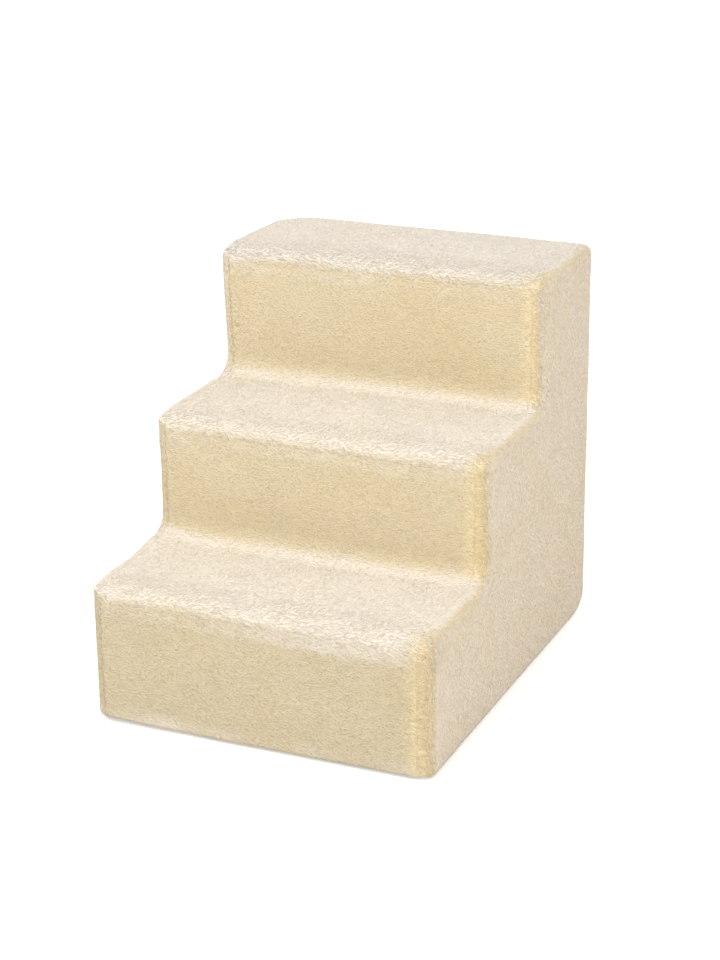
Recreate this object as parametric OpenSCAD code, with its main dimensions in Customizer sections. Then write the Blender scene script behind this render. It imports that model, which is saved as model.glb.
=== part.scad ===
// Pet stairs with three steps: a knock-down frame of moulded ribbed boards that hook into two
// stepped side frames, under a fitted plush cover that closes with a zip down its back.
// Millimetres. X runs across the steps, Y from the front riser to the back, Z up. The origin is
// on the floor, under the middle of the stairs.

/* [Stairs] */
// Overall width over the plush
stairs_w = 350; // [320:1:400]
// Overall depth over the plush
stairs_d = 440; // [430:1:480]
// Overall height from the floor to the crown of the upper tread
stairs_h = 400; // [392:1:430]
// Height of the lower tread above the floor
lower_tread_z = 144; // [136:1:150]
// Height of the middle tread above the floor
middle_tread_z = 268; // [262:1:276]
// Depth of the lower tread, riser to riser
lower_tread_d = 140; // [132:1:150]
// Depth of the middle tread, riser to riser
middle_tread_d = 152; // [142:1:160]

/* [Plush cover] */
// Thickness of the plush, backing and pile together
plush_t = 6; // [5:0.5:7]
// Gap between the plush and the frame inside it
plush_fit = 0.3; // [0.2:0.1:0.6]
// Radius of the tread noses
nose_r = 18; // [14:1:20]
// Radius that the plush bridges where a tread meets a riser
crease_r = 16; // [8:1:20]
// Plan radius of the upright corners at the risers' ends
corner_r = 22; // [20:1:26]
// Radius of the tread edges along the sides
tread_edge_r = 12; // [9:1:16]
// Radius of the rear edges
rear_edge_r = 9; // [8:1:12]
// Radius of the bottom edge at the front
hem_edge_r = 6; // [4:1:8]
// Radius of the rear bottom corner along the depth
heel_depth_r = 34; // [20:1:38]
// Radius of the rear bottom corner up the height
heel_rise_r = 20; // [14:1:24]
// How far the padded treads rise in the middle
tread_crown = 3; // [1:0.5:4]
// How far the padded risers stand out in the middle
riser_crown = 1.5; // [0.5:0.5:2.5]
// Distance of the side seams from the outer sides
seam_in = 14; // [10:1:16]
// How deep the plush is drawn in at a seam
seam_dip = 1.2; // [0.5:0.1:2]
// Gap between two sewn edges
seam_gap = 0.3; // [0.2:0.1:0.6]

/* [Hem] */
// Height of the hem above the floor
hem_lift = 1.3; // [1:0.1:2]
// Thickness of the turned-under hem
hem_t = 2.4; // [2:0.1:3]
// How far the front and the back turn under
hem_turn = 26; // [20:1:30]
// Width of the elastic tunnel
tunnel_w = 11; // [9:0.5:14]
// Width of the flat elastic
elastic_w = 7; // [5:0.5:8]
// Thickness of the flat elastic
elastic_t = 0.8; // [0.6:0.1:1]
// Gap between the elastic and its tunnel
elastic_fit = 0.2; // [0.1:0.05:0.3]
// Corner radius of the elastic tunnel
tunnel_r = 24; // [16:1:30]

/* [Side frames] */
// Wall of the side frames
side_t = 3; // [2.5:0.5:4]
// Width of the rim that carries the boards
rim_w = 30; // [26:1:34]
// Thickness of the rim
rim_t = 2.6; // [2:0.2:3.4]
// Height of the ribs over the wall
side_rib_h = 12; // [8:1:16]
// Thickness of the ribs
rib_t = 2; // [1.6:0.2:2.6]
// Widest spacing of the ribs
rib_pitch = 48; // [42:1:60]
// Width of the lightening slots between the ribs
slot_w = 26; // [18:1:30]
// Corner radius of the lightening slots
slot_r = 8; // [4:1:9]
// Edge length of the foot pads on the base flange
foot_pad = 34; // [30:1:40]
// Distance of the foot centres from the frame's sides and ends
foot_in = 42; // [40:1:50]

/* [Boards] */
// Wall of the tread, riser and rear boards
board_t = 3; // [2.5:0.5:4]
// Gap between the boards and what they meet
board_fit = 0.3; // [0.2:0.1:0.5]
// Height of the ribs under the treads
tread_rib_h = 16; // [12:1:20]
// Height of the ribs behind the risers
riser_rib_h = 9; // [6:1:12]
// Height of the lip under a tread's nose
lip_h = 20; // [18:1:26]
// Overlap of the tongue behind the lip
tongue_h = 12; // [8:1:14]
// Width of a hook
hook_w = 16; // [12:1:20]
// Thickness of a hook's leg
hook_t = 2.6; // [2:0.2:3.2]
// Height of a hook's barb
barb_h = 3; // [2:0.5:4]
// How far the barb stands out
barb_out = 1.4; // [1:0.1:2]
// Gap around a hook in its slot
hook_fit = 0.4; // [0.3:0.1:0.6]
// Half width of the stiffening channel down the rear board
channel_hw = 21; // [20:1:26]
// Depth of the stiffening channel
channel_d = 3; // [3:0.2:4]

/* [Floor rail] */
// Width of the floor rail
rail_w = 44; // [36:1:56]
// Height of the floor rail
rail_h = 16; // [12:1:22]
// Wall of the floor rail
rail_t = 2.4; // [2:0.2:3]

/* [Feet] */
// Radius of a rubber foot
foot_r = 11; // [9:0.5:13]
// Radius of the stem that holds a foot
foot_stem_r = 3; // [2.5:0.1:4]
// Radial clearance of the stem in its pad
foot_stem_fit = 0.1; // [0.05:0.05:0.2]

/* [Zip] */
// Half width of the opening that the zip fills
zip_gap = 9; // [8:0.5:11]
// Height of the opening's lower end above the floor
zip_low_z = 30; // [28:1:36]
// Length of the opening
zip_open = 270; // [220:5:300]
// Bare tape left below the stops
zip_tail = 14; // [12:1:18]
// Spacing of the teeth on one tape
tooth_pitch = 4; // [3.4:0.2:5]
// Gap between neighbouring heads of the closed chain
tooth_gap = 0.3; // [0.2:0.05:0.4]
// Reach of a tooth's head past the middle line
tooth_reach = 1; // [0.7:0.1:1.2]
// Half width of the closed chain
chain_hw = 3; // [2.6:0.1:3.4]
// Thickness of the teeth
tooth_t = 2.6; // [2.2:0.1:2.8]
// Thickness of the zip's tape
tape_t = 0.8; // [0.6:0.1:1]
// Distance from the middle line to the tape's outer edge
tape_out = 18; // [15:0.5:19]
// Height of the stops
stop_h = 3; // [2:0.5:4]
// Length of the slider
slider_len = 13; // [11:0.5:15]
// Thickness of the slider's plates
slider_t = 1; // [0.8:0.1:1.1]
// Thickness of the slider's side flanges
flange_t = 1.3; // [1:0.1:1.6]
// Running clearance of the slider over the chain
slider_fit = 0.3; // [0.2:0.05:0.35]
// Half width of the slider's post
post_hw = 0.9; // [0.7:0.1:1]
// Height of the slider's post
post_h = 4; // [3:0.5:5]
// Width of the bail that holds the pull
bail_w = 1.6; // [1.2:0.1:2]
// Half length of the bail
bail_half = 3.2; // [2.8:0.1:4]
// Length of the pull below its cross bar
pull_len = 22; // [18:1:22]
// Width of the pull
pull_w = 7; // [6.5:0.5:9]
// Radius of the pull's cross bar
pull_bar_r = 0.6; // [0.5:0.05:0.7]

/* [Hidden] */

// Overrun of every cut past the face that it opens
over = 1;
// Smallest radius that an inset corner keeps
min_r = 0.8;
// Steps of the rounded corners
nose_steps = 5;
edge_steps = 3;

// Plan places of the risers and levels of the treads, outside the plush
riser_y = [-stairs_d / 2, -stairs_d / 2 + lower_tread_d, -stairs_d / 2 + lower_tread_d + middle_tread_d];
rear_y = stairs_d / 2;
tread_z = [lower_tread_z, middle_tread_z, stairs_h];
half_w = stairs_w / 2;
seam_x = half_w - seam_in;

// Faces of the frame inside the cover
frame_in = plush_t + plush_fit;
frame_x = half_w - frame_in;
frame_z0 = hem_lift + hem_t + plush_fit;
frame_rear_y = rear_y - frame_in;
function frame_riser(k) = riser_y[k] + riser_crown + frame_in;
function frame_tread(k) = tread_z[k] - tread_crown - frame_in;
side_lip_h = tread_edge_r - frame_in + min_r;
rib_hx = frame_x - rim_w - board_fit;

// Outline of the stairs from the side, as [y, z] points

// Arc about [y, z] with radii ry and rz, from angle a0 to a1
function arc(y, z, ry, rz, a0, a1, n) =
    [for (i = [0:n]) let (a = a0 + (a1 - a0) * i / n) [y + ry * cos(a), z + rz * sin(a)]];

// Points between p and q that stand out by h_y from a riser or by h_z from a tread
function crowned(p, q, n, h_y, h_z) =
    [for (i = [1:n]) let (s = i / (n + 1), c = 4 * s * (1 - s))
        [p[0] + (q[0] - p[0]) * s - h_y * c, p[1] + (q[1] - p[1]) * s + h_z * c]];

// Radius that a nose keeps in one direction when the other face is set in by cross: self is the
// inset of its own face, and d the depth of the whole shell under the skin
function kept_r(self, cross, d_self, d_cross) = let (
        r_self = nose_r - d_self, r_cross = nose_r - d_cross,
        s = min(max((nose_r - cross) / r_cross, 0), 1))
    max(nose_r - self - r_self * sqrt(1 - s * s), min_r);

// Rounded nose of step k, with risers set in by f and treads by t, in a shell d below the skin
function nose(k, f, t, d) = let (
        ry = kept_r(f, t, d + riser_crown, d + tread_crown),
        rz = kept_r(t, f, d + tread_crown, d + riser_crown))
    arc(riser_y[k] + f + ry, tread_z[k] - t - rz, ry, rz, 180, 90, nose_steps);

// Hollow corner where tread k meets the riser behind it
function crease(k, f, t) =
    arc(riser_y[k + 1] - crease_r, tread_z[k] + crease_r, crease_r + f, crease_r + t, 270, 360, nose_steps);

// Front bottom, rear top and rear bottom corners; r sets the rear in and b lifts the bottom
function toe(f, b, d) = let (r = max(hem_edge_r - b - d, min_r))
    arc(riser_y[0] + f + r, hem_lift + b + r, r, r, 270, 180, edge_steps);
function rear_top(r, t) = let (
        ry = max(rear_edge_r - r, min_r), rz = max(rear_edge_r + tread_crown - t, min_r))
    arc(rear_y - r - ry, stairs_h - t - rz, ry, rz, 90, 0, edge_steps);
function heel(r, b) = let (ry = max(heel_depth_r - r, min_r), rz = max(heel_rise_r - b, min_r))
    arc(rear_y - r - ry, hem_lift + b + rz, ry, rz, 0, -90, nose_steps);

// From the front bottom corner up the steps to the last tread; c is the share of the crowns, d the
// depth below the skin, and the last tread runs to end_y
function steps_line(f, t, b, c, d, end_y) = let (
        n0 = nose(0, f, t, d), n1 = nose(1, f, t, d), n2 = nose(2, f, t, d), last = nose_steps,
        c0 = crease(0, f, t), c1 = crease(1, f, t), t0 = toe(f, b, d), end = [end_y, stairs_h - t],
        hy = riser_crown * c, hz = tread_crown * c)
    concat(
        t0, crowned(t0[edge_steps], n0[0], 1, hy, 0), n0, crowned(n0[last], c0[0], 3, 0, hz),
        c0, crowned(c0[last], n1[0], 1, hy, 0), n1, crowned(n1[last], c1[0], 3, 0, hz),
        c1, crowned(c1[last], n2[0], 1, hy, 0), n2, crowned(n2[last], end, 3, 0, hz));

// Plush cover

// How far a rounded edge of radius r has fallen at distance u from the side face, d below the skin
function fall(r, u, d) = let (q = max(r - d, min_r), e = min(max(q - (u - d), 0), q))
    d + q - sqrt(q * q - e * e);

// Insets of the risers and treads at distance u from the side face, d below the skin
function riser_in(u, d) = riser_crown + fall(corner_r, u, d);
function tread_in(u, d) = tread_crown + fall(tread_edge_r, u, d);

// Whole loop round the stairs at distance u from the side face
function cover_loop(u, d, b, c, dip) = let (
        r = fall(rear_edge_r, u, d) + dip, t = tread_in(u, d) + dip, back = rear_top(r, t))
    concat(steps_line(riser_in(u, d) + dip, t, b, c, d, back[0][0]), back, heel(r, b));

// Share of the crown at distance u from the side face
function crown_at(u) = let (s = min(u / half_w, 1)) s * (2 - s);

// Distances from the side face of the rings of a side panel and of the rows of the step strip,
// with shares of the seam's distance, of the way from the seam to the corner, and of the half width
side_row_shares = [0.6, 0.32, 0.1, 0];
corner_row_shares = [0.45, 1];
middle_row_shares = [0.25, 0.6, 1];
side_rows = concat([seam_in - seam_gap / 2], [for (s = side_row_shares) seam_in * s]);
strip_rows = concat([seam_in + seam_gap / 2],
    [for (s = corner_row_shares) seam_in + (corner_r - seam_in) * s],
    [for (s = middle_row_shares) half_w * s]);

// Triangles of the quad a, b, c, d; flip turns them over
function quad(a, b, c, d, flip) = flip ? [[a, b, c], [a, c, d]] : [[a, c, b], [a, d, c]];

// Faces of a grid of rows with n points each, numbered from first
function grid_faces(rows, n, first, flip) = [for (i = [0:rows - 2]) for (j = [0:n - 2])
    let (a = first + i * n + j) each quad(a, a + 1, a + n + 1, a + n, flip)];

// Faces of a band between two runs of points, given by their numbers
function band(a, b, flip) = [for (j = [0:len(a) - 2]) each quad(a[j], a[j + 1], b[j + 1], b[j], flip)];

// Closed sheet between an outer and an inner grid of points with the same rows and columns
module sheet(outer, inner) {
    rows = len(outer);
    n = len(outer[0]);
    m = rows * n;
    first = [for (j = [0:n - 1]) j];
    last = [for (j = [0:n - 1]) (rows - 1) * n + j];
    start = [for (i = [0:rows - 1]) i * n];
    end = [for (i = [0:rows - 1]) i * n + n - 1];
    polyhedron(
        points = concat([for (r = outer) each r], [for (r = inner) each r]),
        faces = concat(
            grid_faces(rows, n, 0, true), grid_faces(rows, n, m, false),
            band(first, [for (j = first) j + m], false), band(last, [for (j = last) j + m], true),
            band(start, [for (j = start) j + m], true), band(end, [for (j = end) j + m], false)));
}

// Point of a side profile at x
function at_x(x, p) = [x, p[0], p[1]];

// Step strip: one length of plush up the risers, over the treads and under the front edge
strip_end_y = rear_y - rear_edge_r - seam_gap / 2;
function strip_row(u, x, d, b, c, dip) =
    let (t = tread_in(u, d) + dip, line = steps_line(riser_in(u, d) + dip, t, b, c, d, strip_end_y))
    [for (p = concat([[riser_y[0] + hem_turn, line[0][1]]], line, [[strip_end_y, stairs_h - t]]))
        at_x(x, p)];

function strip_grid(d, b, crowns) = let (n = len(strip_rows)) [for (i = [0:2 * n - 2])
    let (k = i < n ? i : 2 * n - 2 - i, u = strip_rows[k], side = i < n ? -1 : 1)
    strip_row(u, side * (half_w - u), d, b, crowns ? crown_at(u) : 0, k == 0 && crowns ? seam_dip : 0)];

module cover_step_strip() {
    color("wheat") sheet(strip_grid(0, 0, true), strip_grid(plush_t, hem_t, false));
}

// Side panel: the flat side with its edge wrapped round onto the risers, treads, back and hem
function inner_u(u) = plush_t + (seam_in - seam_gap / 2 - plush_t) * u / (seam_in - seam_gap / 2);
module side_panel() {
    outer = [for (i = [0:len(side_rows) - 1]) let (u = side_rows[i])
        cover_loop(u, 0, fall(hem_edge_r, u, 0), crown_at(u), i == 0 ? seam_dip : 0)];
    inner = [for (u = side_rows) cover_loop(inner_u(u), plush_t, hem_t, 0, 0)];
    rows = len(side_rows);
    n = len(outer[0]);
    m = rows * n;
    last = (rows - 1) * n;

    // The flat sides are triangles about the end of the heel, from which every point can be seen
    function next(j) = (j + 1) % n;
    function rings(first, flip) = [for (i = [0:rows - 2]) for (j = [0:n - 1])
        let (a = first + i * n) each quad(a + j, a + next(j), a + n + next(j), a + n + j, flip)];
    polyhedron(
        points = concat(
            [for (i = [0:rows - 1]) for (p = outer[i]) at_x(half_w - side_rows[i], p)],
            [for (i = [0:rows - 1]) for (p = inner[i]) at_x(half_w - inner_u(side_rows[i]), p)]),
        faces = concat(
            rings(0, true), rings(m, false),
            [for (j = [0:n - 3]) [last + n - 1, last + j, last + j + 1]],
            [for (j = [0:n - 3]) [m + last + n - 1, m + last + j + 1, m + last + j]],
            [for (j = [0:n - 1]) each quad(j, next(j), m + next(j), m + j, false)]));
}

module cover_right_side() { color("antiquewhite") side_panel(); }
module cover_left_side() { color("antiquewhite") mirror([1, 0, 0]) side_panel(); }

// Back half: from the rear top edge down to the turned-under hem, cut away for the zip
back_rows = [half_w - seam_gap / 2, half_w / 2, corner_r, seam_in + seam_gap / 2];
function back_row(u, d, b, dip) = let (
        r = d + dip, t = tread_in(u, d) + dip, line = concat(rear_top(r, t), heel(r, b)))
    [for (p = concat(
        [[rear_y - rear_edge_r + seam_gap / 2, stairs_h - t]], [for (i = [1:len(line) - 1]) line[i]],
        [[rear_y - heel_depth_r - hem_turn, hem_lift + b]])) at_x(half_w - u, p)];

module back_half() {
    last = len(back_rows) - 1;
    difference() {
        sheet(
            [for (i = [0:last]) back_row(back_rows[i], 0, 0, i == last ? seam_dip : 0)],
            [for (u = back_rows) back_row(u, plush_t, hem_t, 0)]);
        translate([-over, 0, zip_low_z]) cube([zip_gap + over, stairs_d, zip_open]);
    }
}

module cover_back_right() { color("antiquewhite") back_half(); }
module cover_back_left() { color("antiquewhite") mirror([1, 0, 0]) back_half(); }

// Hem

// Plan of the elastic tunnel's middle line, set in by d on every side
hem_rear_turn = heel_depth_r + hem_turn;
module hem_plan(d) {
    r = max(tunnel_r - d, min_r);
    x = seam_x - seam_gap - d;
    y0 = riser_y[0] + hem_turn + seam_gap + d;
    y1 = rear_y - hem_rear_turn - seam_gap - d;
    for (s = [-1, 1]) for (y = [y0 + r, y1 - r]) translate([s * (x - r), y]) circle(r = r, $fn = 48);
    translate([-x, y0 + r]) square([2 * x, y1 - y0 - 2 * r]);
    translate([-x + r, y0]) square([2 * (x - r), y1 - y0]);
}

// Ring of the plan between the insets d0 and d1, open behind the zip
module hem_ring(d0, d1) {
    difference() {
        hem_plan(d0);
        hem_plan(d1);
        translate([-zip_gap, 0]) square([2 * zip_gap, stairs_d]);
    }
}

elastic_d = (tunnel_w - elastic_w) / 2;
module hem_tunnel() {
    color("oldlace") translate([0, 0, hem_lift]) difference() {
        linear_extrude(hem_t) hem_ring(0, tunnel_w);
        translate([0, 0, (hem_t - elastic_t) / 2 - elastic_fit])
            linear_extrude(elastic_t + 2 * elastic_fit)
                hem_ring(elastic_d - elastic_fit, tunnel_w - elastic_d + elastic_fit);
    }
}

module hem_elastic() {
    color("white") translate([0, 0, hem_lift + (hem_t - elastic_t) / 2])
        linear_extrude(elastic_t) hem_ring(elastic_d, tunnel_w - elastic_d);
}

// Frame outlines

base_in = frame_z0 - hem_lift;
heel_in = board_t + board_fit;

// Stepped outline with square corners, set in by f at the risers, t at the treads, r at the rear
// and b at the bottom; at the heel it steps up over the foot of the rear board
function step_outline(f, t, r, b) = let (step_y = rear_y - heel_depth_r - board_fit - (b - base_in))
    concat(
        [for (k = [0:2]) each
            [[riser_y[k] + f, k == 0 ? hem_lift + b : tread_z[k - 1] - t], [riser_y[k] + f, tread_z[k] - t]]],
        [[rear_y - r, stairs_h - t]], heel(r, b + heel_in),
        [[step_y, hem_lift + b + heel_in], [step_y, hem_lift + b]]);

wall_f = riser_crown + corner_r + min_r + board_fit;
wall_t = tread_crown + tread_edge_r + min_r + board_fit;
ledge_f = riser_crown + frame_in + board_t + board_fit;
ledge_t = tread_crown + frame_in + board_t + board_fit;
wall_r = frame_in + board_t + board_fit;

module outline_2d(f, t, r, b) { polygon(step_outline(f, t, r, b)); }

// Extrudes a [y, z] outline along x, from x0 for a length w
module along_x(x0, w) { translate([x0, 0, 0]) rotate([90, 0, 90]) linear_extrude(w) children(); }

// Level of the side wall's top at depth y
function wall_top(y) =
    tread_z[y < riser_y[1] + wall_f ? 0 : y < riser_y[2] + wall_f ? 1 : 2] - wall_t;

// Centres of the rib lattice across the depth and up the height
lattice_y0 = riser_y[0] + wall_f;
lattice_ny = ceil((rear_y - wall_r - lattice_y0) / rib_pitch);
lattice_dy = (rear_y - wall_r - lattice_y0) / lattice_ny;
lattice_nz = ceil((stairs_h - wall_t - frame_z0) / rib_pitch);
lattice_dz = (stairs_h - wall_t - frame_z0) / lattice_nz;

// True where a lightening slot in cell i, j keeps a full margin to the outline
function slot_fits(i, j) = let (
        y = lattice_y0 + i * lattice_dy, z = frame_z0 + j * lattice_dz, m = rim_t)
    z + lattice_dz + m <= wall_top(y - m) + m
    && (i < lattice_ny - 1 || j > 0)
    && z + lattice_dz <= wall_top(y) + min_r;

module lightening_slots() {
    for (i = [0:lattice_ny - 1]) for (j = [0:lattice_nz - 1]) if (slot_fits(i, j))
        translate([lattice_y0 + (i + 1 / 2) * lattice_dy, frame_z0 + (j + 1 / 2) * lattice_dz])
            for (q = [[slot_w, slot_w - 2 * slot_r], [slot_w - 2 * slot_r, slot_w]])
                square(q, center = true);
}

module slot_corners() {
    c = slot_w / 2 - slot_r;
    for (i = [0:lattice_ny - 1]) for (j = [0:lattice_nz - 1]) if (slot_fits(i, j))
        translate([lattice_y0 + (i + 1 / 2) * lattice_dy, frame_z0 + (j + 1 / 2) * lattice_dz])
            for (sy = [-c, c]) for (sz = [-c, c]) translate([sy, sz]) circle(r = slot_r, $fn = 32);
}

module rib_lattice() {
    for (i = [1:lattice_ny - 1])
        translate([lattice_y0 + i * lattice_dy - rib_t / 2, 0]) square([rib_t, stairs_h]);
    for (j = [1:lattice_nz - 1])
        translate([-rear_y, frame_z0 + j * lattice_dz - rib_t / 2]) square([stairs_d, rib_t]);
}

// Hooks: places shared by the boards and the slots in the side frames
hook_x = half_w - corner_r - plush_fit - (rim_w - corner_r + frame_in) / 2;
tread_hook_shares = [0.3, 0.78];
riser_hook_shares = [0.3, 0.68];
rear_hook_shares = [0.2, 0.52, 0.84];
function tread_end(k) = k < 2 ? frame_riser(k + 1) - board_fit : frame_rear_y;
function tread_hook_y(k) =
    [for (s = tread_hook_shares) frame_riser(k) + (tread_end(k) - frame_riser(k)) * s];
function riser_low(k) = k == 0 ? frame_z0 : frame_tread(k - 1) - board_t;
function riser_high(k) = frame_tread(k) - lip_h - board_fit;
function riser_hook_z(k) = [for (s = riser_hook_shares) riser_low(k) + (riser_high(k) - riser_low(k)) * s];
rear_high = frame_tread(2) - board_t - board_fit;
rear_hook_z = [for (s = rear_hook_shares) frame_z0 + (rear_high - frame_z0) * s];
ledge_t_thick = wall_t - ledge_t + rim_t;

// Hook at the origin: the leg runs down -Z through a wall of thickness wall, the barb turns to +X
module hook(wall) {
    leg = wall + 2 * board_fit + barb_h;
    translate([-hook_t / 2, -hook_w / 2, -leg]) cube([hook_t, hook_w, leg + board_t / 2]);
    translate([0, hook_w / 2, -leg]) rotate([90, 0, 0]) linear_extrude(hook_w)
        polygon([[0, 0], [hook_t / 2, 0], [hook_t / 2 + barb_out, barb_h], [0, barb_h]]);
}

// Slot that a hook passes, with its clearance
module hook_slot(wall) {
    a = hook_t + 2 * hook_fit;
    b = hook_w + 2 * hook_fit;
    translate([-a / 2, -b / 2, -wall - over]) cube([a, b, wall + over + board_t]);
}

// Puts a hook or slot at each of its places on step k
module at_tread_hooks(k) {
    for (y = tread_hook_y(k)) translate([hook_x, y, frame_tread(k) - board_t])
        rotate([0, 0, 180]) children();
}
module at_riser_hooks(k) {
    for (z = riser_hook_z(k)) translate([hook_x, frame_riser(k) + board_t, z])
        rotate([90, 0, 0]) rotate([0, 0, 180]) children();
}
module at_rear_hooks() {
    for (z = rear_hook_z) translate([hook_x, frame_rear_y - board_t, z])
        rotate([-90, 0, 0]) rotate([0, 0, 180]) children();
}

// Feet and rail pegs on the base flange
foot_x = frame_x - foot_in;
foot_ys = [
    riser_y[0] + frame_in + foot_in + hem_turn / 2, 0,
    rear_y - hem_rear_turn - tunnel_w - foot_r - 2 * seam_gap];
rail_y = foot_ys[1] + foot_pad / 2 + rail_w / 2 + 2 * board_fit;
rail_end_x = frame_x - side_t - side_rib_h - board_fit;
peg_x = frame_x - rim_w + foot_stem_r + rim_t;

// Side frame, modelled as the right one
module side_frame() {
    rim_in = frame_x - rim_w;
    ledge_x = half_w - corner_r - plush_fit;
    difference() {
        union() {
            along_x(frame_x - side_t, side_t) outline_2d(wall_f, wall_t, wall_r, base_in);
            along_x(frame_x - side_t - side_rib_h, side_rib_h + side_t / 2) intersection() {
                rib_lattice();
                outline_2d(wall_f + rim_t / 2, wall_t + rim_t / 2, wall_r + rim_t / 2, base_in + rim_t / 2);
            }
            along_x(rim_in, rim_w) difference() {
                outline_2d(wall_f, wall_t, wall_r, base_in);
                outline_2d(wall_f + rim_t, wall_t + rim_t, wall_r + rim_t, base_in + rim_t);
            }
            along_x(rim_in, ledge_x - rim_in) difference() {
                outline_2d(ledge_f, ledge_t, wall_r, base_in);
                outline_2d(wall_f + rim_t / 2, wall_t + rim_t / 2, wall_r + rim_t / 2, base_in + rim_t / 2);
            }
            for (y = foot_ys) translate([foot_x - foot_pad / 2, y - foot_pad / 2, frame_z0])
                cube([foot_in, foot_pad, rim_t]);
        }
        along_x(rim_in - over, ledge_x - rim_in - rim_t + over) difference() {
            outline_2d(ledge_f + rim_t, ledge_t + rim_t, wall_r, base_in + rim_t);
            outline_2d(wall_f, wall_t, wall_r - over, base_in + rim_t);
        }
        for (k = [0:2]) translate([rim_in - over, riser_y[k], tread_z[k] - nose_r])
            cube([ledge_x - rim_in + 2 * over, nose_r, nose_r]);
        along_x(frame_x - side_t - over, side_t + 2 * over) { lightening_slots(); slot_corners(); }
        for (k = [0:2]) {
            at_tread_hooks(k) hook_slot(ledge_t_thick);
            at_riser_hooks(k) hook_slot(rim_t);
        }
        at_rear_hooks() hook_slot(rim_t);
        for (y = foot_ys) translate([foot_x, y, frame_z0 - over])
            cylinder(r = foot_stem_r + foot_stem_fit, h = rim_t + 2 * over, $fn = 48);
        for (s = [-1, 1]) translate([peg_x, rail_y + s * rail_w / 4, frame_z0 - over])
            cylinder(r = foot_stem_r + foot_stem_fit, h = rim_t + 2 * over, $fn = 48);
    }
}

module side_frame_right() { color("ghostwhite") side_frame(); }
module side_frame_left() { color("ghostwhite") mirror([1, 0, 0]) side_frame(); }

// Boards

// Both ends of a board carry the same hooks
module both_ends() {
    children();
    mirror([1, 0, 0]) children();
}

// Depth at which the rounded front corners of a board end
function board_corner_y(k) = frame_riser(k) + corner_r - frame_in + min_r;

// Solid plan of a board set in by d, with its front corners rounded as the cover's, running to y1
module board_plan(k, d, y1) {
    r = corner_r - frame_in - d;
    x = frame_x - d;
    y0 = frame_riser(k) + d;
    intersection() {
        union() {
            for (s = [-1, 1]) translate([s * (x - r), y0 + r]) circle(r = r, $fn = 64);
            translate([-x, y0 + r]) square([2 * x, y1 - y0 - r]);
            translate([-x + r, y0]) square([2 * (x - r), r + min_r]);
        }
        translate([-x, y0]) square([2 * x, y1 - y0]);
    }
}

// Solid block of tread k set in by d: rounded nose, plan corners and side edges; drop is its depth
module tread_block(k, d, y1, drop) {
    r = max(tread_edge_r - frame_in - d, min_r);
    top = frame_tread(k) - d;
    low = top - lip_h - 2 * over;
    line = nose(k, riser_crown + frame_in + d, tread_crown + frame_in + d, frame_in + d);
    back = y1 == frame_rear_y ? rear_top(frame_in, tread_crown + frame_in) : [[y1, top]];
    intersection() {
        translate([0, 0, top - drop]) linear_extrude(drop) board_plan(k, d, y1);
        along_x(-frame_x, 2 * frame_x) polygon(concat([[line[0][0], low]], line, back, [[y1, low]]));
        rotate([90, 0, 0]) translate([0, 0, -y1]) linear_extrude(y1 - riser_y[k]) {
            for (s = [-1, 1]) translate([s * (frame_x - d - r), top - r]) circle(r = r, $fn = 48);
            translate([-frame_x + d + r, top - r - min_r]) square([2 * (frame_x - d - r), r + min_r]);
            translate([-frame_x + d, top - drop]) square([2 * (frame_x - d), drop - r]);
        }
    }
}

module tread_board(k, ribs_along, ribs_across) {
    y1 = tread_end(k);
    rib_y0 = frame_riser(k) + 2 * board_t + 3 * board_fit;
    rib_y1 = k < 2 ? y1 - board_t : channel_y - board_fit;
    rib_z = frame_tread(k) - board_t - tread_rib_h;
    difference() {
        intersection() {
            union() {
                tread_block(k, 0, y1, side_lip_h);
                tread_block(k, 0, board_corner_y(k), lip_h);
            }
            linear_extrude(stairs_h) rear_plan();
        }
        tread_block(k, board_t, y1 + over, lip_h + over);
    }
    for (i = [0:ribs_along - 1])
        translate([-rib_hx, rib_y0 + (rib_y1 - rib_y0 - rib_t) * i / (ribs_along - 1), rib_z])
            cube([2 * rib_hx, rib_t, tread_rib_h + board_t / 2]);
    for (i = [0:ribs_across - 1])
        translate([-rib_hx + (2 * rib_hx - rib_t) * i / (ribs_across - 1), rib_y0, rib_z])
            cube([rib_t, rib_y1 - rib_y0, tread_rib_h + board_t / 2]);
    both_ends() at_tread_hooks(k) hook(ledge_t_thick);
}

module tread_board_lower() { color("whitesmoke") tread_board(0, 4, 6); }
module tread_board_middle() { color("whitesmoke") tread_board(1, 4, 6); }
module tread_board_upper() { color("whitesmoke") tread_board(2, 4, 6); }

module riser_board(k, ribs_across) {
    low = riser_low(k);
    high = riser_high(k);
    y0 = frame_riser(k);
    tongue_y = y0 + board_t + board_fit;
    rib_low = k == 0 ? low : frame_tread(k - 1);
    rib_high = high - tongue_h;
    translate([0, 0, low]) linear_extrude(high - low) difference() {
        board_plan(k, 0, board_corner_y(k));
        board_plan(k, board_t, y0 + corner_r);
    }
    translate([-rib_hx, tongue_y, high - tongue_h]) cube([2 * rib_hx, board_t, 2 * tongue_h]);
    translate([-rib_hx, y0 + board_t / 2, high - tongue_h])
        cube([2 * rib_hx, board_t + board_fit, tongue_h]);
    for (i = [0:ribs_across - 1])
        translate([-rib_hx + (2 * rib_hx - rib_t) * i / (ribs_across - 1), y0 + board_t / 2, rib_low])
            cube([rib_t, riser_rib_h + board_t / 2, rib_high - rib_low]);
    for (z = [rib_low, (rib_low + rib_high - rib_t) / 2])
        translate([-rib_hx, y0 + board_t / 2, z]) cube([2 * rib_hx, riser_rib_h + board_t / 2, rib_t]);
    both_ends() at_riser_hooks(k) hook(rim_t);
}

module riser_board_lower() { color("gainsboro") riser_board(0, 6); }
module riser_board_middle() { color("gainsboro") riser_board(1, 6); }
module riser_board_upper() { color("gainsboro") riser_board(2, 6); }

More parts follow.
